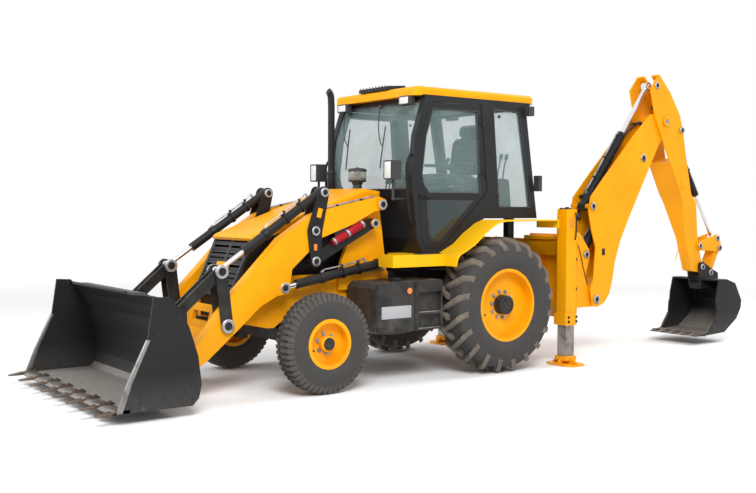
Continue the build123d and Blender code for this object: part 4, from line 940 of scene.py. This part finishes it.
for body, pin, out, radius in HOE_PINS:
    ring = Kit(f"{body}_ring_{int(-pin[0] * 1000)}", body, yellow if radius > 0.055 else steel)
    core = Kit(f"{body}_core_{int(-pin[0] * 1000)}", body, steel if radius > 0.055 else black)
    for sign in (1, -1):
        at = hoe_spot(*pin, sign * out)
        ring.spun(at, (0, sign, 0), [(-0.004, radius), (0.006, radius), (0.009, radius * 0.93),
                                     (0.009, radius * 0.6), (0.002, radius * 0.56)], 36)
        core.spun(at, (0, sign, 0), [(-0.002, radius * 0.58), (0.005, radius * 0.54),
                                     (0.006, radius * 0.18), (0.012, radius * 0.14), (0.013, 0.0)], 24)
        core.bolt(at + Vector((0.0, 0.0, -radius * 0.78)) + Vector((0, sign * 0.008, 0)), (0, sign, 0),
                  0.006, 0.006)
    ring.done()
    core.done()

HOE_RAMS = [
    # name, base, eye, barrel length, radius, side that the feed pipe runs on
    ("boom", BOOM_RAM_BASE, BOOM_RAM_EYE, 1.19, 0.055, (0.7, 0, 0.6)),
    ("dipper", DIPPER_RAM_BASE, DIPPER_RAM_EYE, 1.09, 0.052, (0.8, 0, 0.6)),
    ("hoe_bucket", BUCKET_RAM_BASE, BUCKET_RAM_EYE, 0.96, 0.045, (-0.8, 0, 0.3)),
]
for name, base, eye, barrel, radius, away in HOE_RAMS:
    ram_trim(f"{name}_ram", f"{name}_barrel", hoe_spot(*base), hoe_spot(*eye), barrel, radius, away)

# hoses along the boom's open channel, clamped at three places
runs = Kit("boom_hoses", "boom", hose_grey)
clamps = Kit("boom_hose_clamps", "boom", black)
CHANNEL = [(-1.70, 1.60), (-1.74, 1.86), (-1.95, 2.09), (-2.20, 2.335), (-2.44, 2.575), (-2.66, 2.755),
           (-2.80, 2.80), (-2.90, 2.72)]
for index, out in enumerate((-0.112, -0.088, 0.088, 0.112)):
    droop = 0.012 * (index % 2)
    runs.pipe([hoe_spot(ahead + droop, height - 0.02 + droop, out)
               for ahead, height in CHANNEL], 0.0125)
for share in (1, 3, 5):
    ahead, height = CHANNEL[share]
    for sign in (1, -1):
        clamps.block(hoe_spot(ahead + 0.004, height - 0.012, sign * 0.100), (0.030, 0.062, 0.034),
                     0.004, pitched(44))
for sign in (1, -1):
    for ahead, height in (CHANNEL[0], CHANNEL[-1]):
        for out in (0.088, 0.112):
            fitting(clamps, hoe_spot(ahead, height - 0.025, sign * out), (0.1, 0, 1), 0.017, 0.04)
runs.done()
clamps.done()
runs = Kit("dipper_hoses", "dipper", hose_grey)
for out in (-0.120, -0.094, 0.094, 0.120):
    runs.pipe(hoe_run(out, (-3.02, 2.98), (-3.12, 2.90), (-3.19, 2.78), (-3.20, 2.66)), 0.0125)
    fitting(runs, hoe_spot(-3.20, 2.65, out), (0, 0, 1), 0.017, 0.04)
runs.done()

# weld beads where the boom's and dipper's plates meet
beads = Kit("boom_weld_beads", "boom", yellow)
BACK = [(-2.024, 0.875), (-2.060, 1.073), (-2.151, 1.320), (-2.300, 1.593), (-2.838, 2.488)]
for sign in (1, -1):
    beads.pipe([hoe_spot(ahead - 0.002, height, sign * 0.127) for ahead, height in BACK], 0.006, 8)
beads.done()
beads = Kit("dipper_weld_beads", "dipper", yellow)
for sign in (1, -1):
    beads.pipe(hoe_run(sign * 0.068, (-3.595, 1.30), (-3.47, 1.05)), 0.005, 8)
    beads.block(hoe_spot(-3.30, 2.02, sign * 0.170), (0.09, 0.006, 0.13), 0.003)
beads.done()
marks = Kit("hoe_blank_labels", "boom", black)
for sign in (1, -1):
    marks.block(hoe_spot(-1.86, 1.20, sign * 0.1425), (0.05, 0.003, 0.08), 0.001)
marks.done()

# rail clamps, manifold, hoses and slew pin caps on the carriage
guard = Kit("carriage_clamps", "carriage", steel)
for out in (-0.235, 0.235):
    for height in (0.60, 1.31):
        at = hoe_spot(-1.1355, height, out)
        guard.rod(at, at - Vector((0.030, 0, 0)), 0.045, 28, 0.004)
        guard.bolt(at - Vector((0.030, 0, 0)), (-1, 0, 0), 0.026, 0.016)
guard.done()
feeds = Kit("carriage_hoses", "carriage", hose_grey)
manifold = Kit("carriage_manifold", "carriage", black)
manifold.block(hoe_spot(-1.155, 1.06, -0.17), (0.04, 0.12, 0.26), 0.006)
for index in range(5):
    height = 0.96 + 0.05 * index
    fitting(manifold, hoe_spot(-1.175, height, -0.17), (-1, 0, 0), 0.017, 0.03)
    feeds.pipe([hoe_spot(-1.20, height, -0.17), hoe_spot(-1.24, height - 0.01, -0.17),
                hoe_spot(-1.25, height - 0.10, -0.19), hoe_spot(-1.22, height - 0.25, -0.24),
                hoe_spot(-1.17, 0.70, -0.26), hoe_spot(-1.15, 0.62, -0.20)], 0.012)
feeds.done()
manifold.done()
slew_head = Kit("slew_pin_caps", "carriage", steel)
slew_head.rod(hoe_spot(-1.36, 1.4295), hoe_spot(-1.36, 1.442), 0.062, 32, 0.004)
slew_head.bolt(hoe_spot(-1.36, 1.442), (0, 0, 1), 0.024, 0.014)
slew_head.rod(hoe_spot(-1.36, 0.548), hoe_spot(-1.36, 0.5605), 0.062, 32, 0.004)
slew_head.done()
king = Kit("kingpost_grease_lines", "kingpost", black)
for sign in (1, -1):
    king.pipe([hoe_spot(-1.43, 1.36, sign * 0.097), hoe_spot(-1.50, 1.25, sign * 0.098),
               hoe_spot(-1.57, 1.00, sign * 0.098), hoe_spot(-1.64, 0.82, sign * 0.098)], 0.005, 8)
    for height in (0.78, 1.12):
        king.bolt(hoe_spot(-1.45, height, sign * 0.094), (0, sign, 0), 0.014, 0.010)
king.done()

# ------------------------------------------------------------------ rear frame and legs
LEG_X, LEG_Y = -0.916, 1.025
fittings = Kit("rear_frame_fittings", "machine", black)
lenses = Kit("rear_reflectors", "machine", amber)
ruby_caps = Kit("rear_frame_ruby_caps", "machine", ruby)
for sign in (1, -1):
    face = sign * (LEG_Y + 0.0775)
    fittings.rod(spot(LEG_X, 1.699, sign * LEG_Y), spot(LEG_X, 1.712, sign * LEG_Y), 0.052, 32, 0.004)
    fittings.bolt(spot(LEG_X, 1.712, sign * LEG_Y), (0, 0, 1), 0.022, 0.012)
    fittings.pipe([spot(LEG_X + 0.04, 1.70, sign * (LEG_Y - 0.03)),
                   spot(LEG_X + 0.04, 1.72, sign * (LEG_Y - 0.05)),
                   spot(LEG_X + 0.06, 1.66, sign * (LEG_Y - 0.09)),
                   spot(LEG_X + 0.04, 1.30, sign * (LEG_Y - 0.09))], 0.010)
    for height in (0.48, 0.53):
        for shift in (-0.06, 0.06):
            fittings.bolt(spot(LEG_X + shift, height, sign * (LEG_Y + 0.098)), (0, sign, 0),
                          0.012, 0.010)
    fittings.pipe([spot(LEG_X - 0.045, 1.66, face), spot(LEG_X - 0.045, 1.67, face + sign * 0.018),
                   spot(LEG_X - 0.045, 1.38, face + sign * 0.018), spot(LEG_X - 0.045, 1.37, face)],
                  0.008)
    lenses.block(spot(LEG_X + 0.01, 1.55, face + sign * 0.002), (0.045, 0.006, 0.10), 0.002)
    ruby_caps.rod(spot(-1.091, 1.43, sign * 0.78), spot(-1.091, 1.47, sign * 0.78), 0.020, 20, 0.003)
    for out in (0.30, 0.62):
        fittings.bolt(spot(-0.9895, 1.12, sign * out * 0.6), (1, 0, 0), 0.016, 0.012)
fittings.block(spot(-1.095, 0.90, 0.0), (0.006, 0.30, 0.10), 0.003)
fittings.done()
lenses.done()
ruby_caps.done()
for side, sign in SIDES:
    body = f"{side}_leg"
    lone_block(f"{side}_leg_column", body, leg_steel, spot(LEG_X, 0.570, sign * LEG_Y),
               (0.130, 0.130, 0.98), 0.006, replaces=body)
    pad = Kit(f"{side}_leg_pad", body, yellow)
    shape = unit_cube()
    corners = [edge for edge in shape.edges if abs(edge.verts[0].co.z - edge.verts[1].co.z) > 0.5]
    chamfer(shape, corners, 0.22, 1)
    bmesh.ops.scale(shape, vec=(0.30, 0.41, 0.018), verts=shape.verts)
    bmesh.ops.translate(shape, vec=spot(LEG_X, 0.009, sign * LEG_Y), verts=shape.verts)
    pad.take(shape, 0.003)
    for turn_deg, reach in ((0, 0.28), (90, 0.38)):
        pad.block(spot(LEG_X, 0.05, sign * LEG_Y), (reach, 0.016, 0.065), 0.003,
                  Matrix.Rotation(math.radians(turn_deg), 3, "Z"), (0.62, 1.0))
    pad.block(spot(LEG_X, 0.075, sign * LEG_Y), (0.165, 0.165, 0.05), 0.006)
    for reach in (0.09, -0.09):
        pad.bolt(spot(LEG_X + reach * 1.25, 0.018, sign * LEG_Y + reach), (0, 0, 1), 0.014, 0.010)
    pad.done()

# ------------------------------------------------------------------ buckets
BUCKET_HALF = 1.1775
teeth = Kit("loader_teeth", "loader_bucket", tooth_steel)
for index in range(8):
    out = (index / 7 - 0.5) * 2.285
    shape = unit_cube()
    for share in (-0.2, 0.1):
        bmesh.ops.bisect_plane(shape, geom=shape.verts[:] + shape.edges[:] + shape.faces[:],
                               plane_co=(share, 0, 0), plane_no=(1, 0, 0))
    for vert in shape.verts:
        along = vert.co.x + 0.5
        wide = 0.070 if along < 0.62 else 0.070 - (along - 0.62) / 0.38 * 0.006
        top = 0.128 if along < 0.35 else 0.128 - (along - 0.35) / 0.65 * 0.028
        vert.co = (4.145 + 0.279 * along, vert.co.y * wide, 0.090 if vert.co.z < 0 else top)
    bmesh.ops.translate(shape, vec=(REAR_X, out, 0), verts=shape.verts)
    teeth.take(shape, 0.004)
    for ahead in (4.175, 4.225):
        teeth.bolt(spot(ahead, 0.128, out), (0, 0, 1), 0.014, 0.012)
teeth.done()
edge = Kit("loader_wear_edge", "loader_bucket", worn_steel)
edge.block(spot(4.215, 0.1115, 0.0), (0.10, 2 * BUCKET_HALF - 0.042, 0.006), 0.002)
for sign in (1, -1):
    edge.plate([(4.262, 0.098), (4.168, 0.331), (4.006, 0.663), (3.975, 0.66), (4.128, 0.331),
                (4.21, 0.098)], sign * (BUCKET_HALF - 0.010), 0.024, 0.003)
edge.done()
rib = Kit("loader_bucket_ribs", "loader_bucket", bucket_steel)
rib.pipe([spot(3.950, 1.000, -0.61), spot(3.950, 1.000, 0.61)], 0.010, 10, smooth=False)
for out in (-0.95, -0.25, 0.25, 0.95):
    rib.plate([(3.56, 0.145), (3.535, 0.262), (3.566, 0.50), (3.646, 0.745), (3.62, 0.755),
               (3.52, 0.50), (3.49, 0.262), (3.53, 0.13)], out, 0.016, 0.003)
rib.done()
side_edges = Kit("hoe_bucket_side_cutters", "hoe_bucket", hoe_steel)
for sign in (1, -1):
    out = HOE_Y + sign * 0.362
    side_edges.plate([(-3.735, 0.50), (-3.722, 0.345), (-3.60, 0.19), (-3.66, 0.165), (-3.775, 0.31),
                      (-3.785, 0.50)], out, 0.016, 0.003)
    for ahead, height in ((-3.755, 0.42), (-3.729, 0.28)):
        side_edges.bolt(spot(ahead, height, out + sign * 0.008), (0, sign, 0), 0.014, 0.011)
side_edges.done()
prongs = Kit("hoe_bucket_teeth", "hoe_bucket", tooth_steel)
lie = pitched(-3)
for index in range(5):
    out = HOE_Y + (index / 4 - 0.5) * 0.64
    prongs.block(spot(-3.47, 0.124, out), (0.16, 0.075, 0.036), 0.006, lie)
    shape = unit_cube()
    bmesh.ops.scale(shape, vec=(0.15, 0.065, 0.032), verts=shape.verts)
    tips = [vert for vert in shape.verts if vert.co.x > 0]
    bmesh.ops.scale(shape, vec=(1.0, 0.55, 0.35), verts=tips)
    bmesh.ops.translate(shape, vec=spot(-3.405, 0.120, out), verts=shape.verts)
    prongs.take(shape, 0.004)
    prongs.rod(spot(-3.45, 0.124, out - 0.040), spot(-3.45, 0.124, out + 0.040), 0.008, 12)
prongs.done()

# ------------------------------------------------------------------ underneath
under = Kit("drive_and_steering", "machine", black)
under.rod(spot(0.16, 0.70, 0.0), spot(1.16, 0.74, 0.06), 0.045, 28, 0.004)
under.rod(spot(1.16, 0.74, 0.06), spot(1.50, 0.80, 0.06), 0.055, 28, 0.004)
under.rod(spot(1.45, 0.72, -0.10), spot(2.05, 0.55, -0.10), 0.032, 24)
under.block(spot(1.35, 0.86, 0.0), (0.42, 0.42, 0.30), 0.03)
under.rod(spot(2.10, 0.50, -0.24), spot(2.10, 0.50, 0.24), 0.042, 28, 0.004)
under.block(spot(1.95, 0.70, 0.15), (0.26, 0.30, 0.18), 0.03)
under.done()
bright = Kit("steering_ram_rods", "machine", chrome)
bright.rod(spot(2.10, 0.50, -0.52), spot(2.10, 0.50, 0.52), 0.018, 24)
bright.done()
pipes = Kit("arm_pipes", "loader_arms", steel)
for sign in (1, -1):
    for shift in (-0.016, 0.016):
        out = sign * ARM_Y + shift
        pipes.pipe(side_run(out, (1.33, 1.825), (1.45, 1.800), (1.90, 1.711), (1.955, 1.700)), 0.008)
pipes.done()
holders = Kit("arm_pipe_clips", "loader_arms", black)
for sign in (1, -1):
    for ahead, height in ((1.50, 1.787), (1.78, 1.731)):
        holders.block(spot(ahead, height, sign * ARM_Y), (0.03, 0.06, 0.022), 0.003,
                      pitched(11.4))
holders.done()
plates = Kit("crank_marks", "bell_cranks", yellow)
glow = Kit("crank_reflectors", "bell_cranks", amber)
for sign in (1, -1):
    plates.block(spot(2.018, 1.66, sign * (ARM_Y + 0.0755)), (0.05, 0.003, 0.09), 0.001,
                 pitched(-15))
    glow.block(spot(2.064, 1.335, sign * (ARM_Y + 0.0755)), (0.035, 0.004, 0.06), 0.001)
plates.done()
glow.done()


# ------------------------------------------------------------------ driver's seat
def cushion(name, place, size, corner, turn, channels, cap, material):
    """A stuffed pad: a rounded slab blown up by its filling, held down along its sewn channels."""
    depth, width, thick = size
    shape = unit_cube()
    bmesh.ops.scale(shape, vec=(depth, width, thick), verts=shape.verts)
    upright = [edge for edge in shape.edges if abs(edge.verts[0].co.z - edge.verts[1].co.z) > thick / 2]
    chamfer(shape, upright, corner, 6)
    rims = [edge for edge in shape.edges if edge.calc_face_angle(0.0) > 1.0]
    chamfer(shape, rims, thick * 0.22, 3)
    bmesh.ops.recalc_face_normals(shape, faces=shape.faces)
    mesh = bpy.data.meshes.new(name)
    shape.to_mesh(mesh)
    shape.free()
    pad = linked(name, mesh)
    remesh = pad.modifiers.new("grain", "REMESH")
    remesh.mode = "VOXEL"
    remesh.voxel_size = 0.007
    remesh.use_smooth_shade = True
    apply_modifiers(pad)
    before = [vert.co.copy() for vert in pad.data.vertices]
    held = pad.vertex_groups.new(name="sewn")
    for vert in pad.data.vertices:
        on_top = vert.co.z > thick * 0.4
        near = min((abs(getattr(vert.co, along) - at) for along, at in channels), default=1.0)
        if vert.co.z < -thick * 0.45 or (on_top and near < 0.005):
            held.add([vert.index], 1.0, "REPLACE")
    cloth = pad.modifiers.new("stuffing", "CLOTH")
    cloth.settings.quality = 5
    cloth.settings.use_pressure = True
    cloth.settings.uniform_pressure_force = 4.0
    cloth.settings.effector_weights.gravity = 0.0
    cloth.settings.vertex_group_mass = held.name
    for frame_number in range(1, 21):
        bpy.context.scene.frame_set(frame_number)
    apply_modifiers(pad)
    bpy.context.scene.frame_set(1)
    for vert, start in zip(pad.data.vertices, before):
        move = vert.co - start
        if move.length > cap:
            vert.co = start + move.normalized() * cap
    smooth = bmesh.new()
    smooth.from_mesh(pad.data)
    bmesh.ops.smooth_vert(smooth, verts=smooth.verts, factor=0.5, use_axis_x=True, use_axis_y=True,
                          use_axis_z=True)
    bmesh.ops.transform(smooth, matrix=Matrix.Translation(place) @ turn.to_4x4(), verts=smooth.verts)
    smooth.to_mesh(pad.data)
    smooth.free()
    pad.data.materials.append(material)
    pad.data.polygons.foreach_set("use_smooth", [True] * len(pad.data.polygons))
    finer = pad.modifiers.new("round", "SUBSURF")
    finer.levels = finer.render_levels = 1
    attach(pad, "machine")
    return pad


def apply_modifiers(piece):
    """Swap a piece's mesh for what its modifiers make of it."""
    made = finished_mesh(piece)
    piece.modifiers.clear()
    piece.data = made


def welt(kit, place, size, corner, turn, height, radius=0.005):
    """Piping sewn round a pad's edge."""
    depth, width, _ = size
    run = []
    for sx, sy, first in ((1, 1, 0), (-1, 1, 90), (-1, -1, 180), (1, -1, 270)):
        for step in range(5):
            angle = math.radians(first + step * 22.5)
            run.append(Vector((sx * (depth / 2 - corner) + corner * math.cos(angle),
                               sy * (width / 2 - corner) + corner * math.sin(angle), height)))
    points = [Vector(place) + turn @ point for point in run]
    kit.pipe(points + [points[0]], radius, 8, smooth=False)


LEVEL = pitched(-3)
BACK_LEAN = pitched(80)
PADS = [
    # name, middle, (depth, width, thickness), corner, turn, channels, cap
    ("seat_squab", spot(-0.075, 2.035), (0.45, 0.46, 0.080), 0.07, LEVEL,
     (("y", -0.13), ("y", 0.13), ("x", -0.06), ("x", 0.06)), 0.020),
    ("seat_backrest", spot(-0.335, 2.285), (0.40, 0.42, 0.080), 0.07, BACK_LEAN,
     (("y", -0.12), ("y", 0.12), ("x", -0.05), ("x", 0.07)), 0.020),
    ("seat_headrest", spot(-0.385, 2.575), (0.11, 0.25, 0.065), 0.04, BACK_LEAN, (), 0.012),
]
piping = Kit("seat_piping", "machine", plastic)
for name, place, size, corner, turn, channels, cap in PADS:
    made = cushion(name, place, size, corner, turn, channels, cap, cloth)
    if name == "seat_squab":
        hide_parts("seat")
    for face in (-0.30, 0.30):
        grown = (size[0] + 0.012, size[1] + 0.012, size[2])
        welt(piping, place, grown, corner + 0.006, turn, size[2] * face)
piping.done()
shell = Kit("seat_shell_and_pedestal", "machine", plastic)
shell.block(spot(-0.085, 1.985), (0.43, 0.44, 0.030), 0.012)
shell.block(spot(-0.395, 2.300), (0.020, 0.36, 0.44), 0.008, pitched(-10))
for side in (-1, 1):
    shell.rod(spot(-0.375, 2.46, side * 0.06), spot(-0.392, 2.56, side * 0.06), 0.007, 12)
    shell.block(spot(-0.10, 2.190, side * 0.265), (0.27, 0.045, 0.035), 0.012)
    shell.block(spot(-0.315, 2.180, side * 0.262), (0.05, 0.014, 0.07), 0.004)
    shell.block(spot(-0.085, 1.962, side * 0.13), (0.40, 0.035, 0.018), 0.004)
for fold in range(5):
    at = 1.78 + fold * 0.034
    shell.block(spot(-0.085, at), (0.28, 0.30, 0.020), 0.006)
    shell.block(spot(-0.085, at + 0.017), (0.25, 0.27, 0.020), 0.006)
shell.block(spot(-0.085, 1.70), (0.29, 0.32, 0.12), 0.012)
shell.done()

# ------------------------------------------------------------------ stage, light and camera
def stage():
    """A pale floor that fades out well away from the machine and that mirrors see as white."""
    bm = bmesh.new()
    bmesh.ops.create_grid(bm, x_segments=1, y_segments=1, size=14.0)
    mesh = bpy.data.meshes.new("studio_floor")
    bm.to_mesh(mesh)
    bm.free()
    floor = linked("studio_floor", mesh)
    shader = Shader("studio_floor")
    reach = (shader.x * shader.x + shader.y * shader.y) ** 0.5
    grain = shader.noise(4.0, 3.0)
    shader.finish(colour=shader.mix(grain, (0.90, 0.90, 0.90), (0.95, 0.95, 0.95)), roughness=0.9,
                  alpha=reach.ramp(6.0, 13.0, 1.0, 0.0))
    paths = shader.tree.nodes.new("ShaderNodeLightPath").outputs
    indirect = Val(shader, paths["Is Glossy Ray"]).most(paths["Is Transmission Ray"])
    glow = shader.node("ShaderNodeEmission", {}, {"Color": (1.0, 1.0, 1.0)})
    blend = shader.node("ShaderNodeMixShader", {},
                        {0: indirect, 1: shader.surface.outputs[0], 2: glow})
    shader.feed(shader.output.inputs[0], blend)
    mesh.materials.append(shader.material)


def sky():
    """Soft light all round, seen as plain white by the camera, glass and mirrors."""
    world = bpy.data.worlds.new("studio")
    bpy.context.scene.world = world
    world.use_nodes = True
    tree = world.node_tree
    tree.nodes.clear()

    def put(kind, inputs, **settings):
        made = tree.nodes.new(kind)
        for key, value in settings.items():
            setattr(made, key, value)
        for key, value in inputs.items():
            if isinstance(value, bpy.types.NodeSocket):
                tree.links.new(value, made.inputs[key])
            else:
                made.inputs[key].default_value = value
        return made.outputs

    paths = put("ShaderNodeLightPath", {})
    direct = put("ShaderNodeMath", {0: paths["Is Camera Ray"], 1: paths["Is Transmission Ray"]},
                 operation="ADD")
    seen = put("ShaderNodeMath", {0: direct[0], 1: paths["Is Glossy Ray"]}, operation="ADD",
               use_clamp=True)
    soft = put("ShaderNodeBackground", {"Color": (1, 1, 1, 1), "Strength": 0.55})
    white = put("ShaderNodeBackground", {"Color": (1, 1, 1, 1)})
    blend = put("ShaderNodeMixShader", {0: seen[0], 1: soft[0], 2: white[0]})
    put("ShaderNodeOutputWorld", {0: blend[0]})


def soft_lamp(name, place, aim, size, power):
    """A round softbox that faces its aim."""
    light = bpy.data.lights.new(name, "AREA")
    light.shape = "DISK"
    light.size = size
    light.energy = power
    lamp = linked(name, light)
    lamp.location = place
    lamp.rotation_euler = (Vector(aim) - Vector(place)).to_track_quat("-Z", "Y").to_euler()


stage()
sky()
soft_lamp("key", (6.5, 9.0, 9.5), (0.0, 0.3, 1.2), 6.0, 1500.0)
soft_lamp("fill", (9.0, -3.5, 6.0), (0.0, 0.0, 1.0), 6.0, 450.0)
soft_lamp("rim", (-9.0, 2.0, 8.0), (0.0, 0.0, 1.5), 6.0, 700.0)

YAW, PITCH, ROLL = -2.2015, -0.0415, -0.0038
lens_data = bpy.data.cameras.new("front_left_camera")
lens_data.sensor_width = 36.0
lens_data.lens = 998.42 / 756 * 36.0
camera = linked("front_left_camera", lens_data)
bpy.context.scene.camera = camera
forward = Vector((math.cos(PITCH) * math.cos(YAW), math.cos(PITCH) * math.sin(YAW), math.sin(PITCH)))
turn = forward.to_track_quat("-Z", "Y").to_matrix() @ Matrix.Rotation(-ROLL, 3, "Z")
camera.matrix_world = Matrix.Translation((7.1675 + REAR_X, 8.6036, 1.7378)) @ turn.to_4x4()
bpy.context.scene.view_settings.view_transform = "Standard"
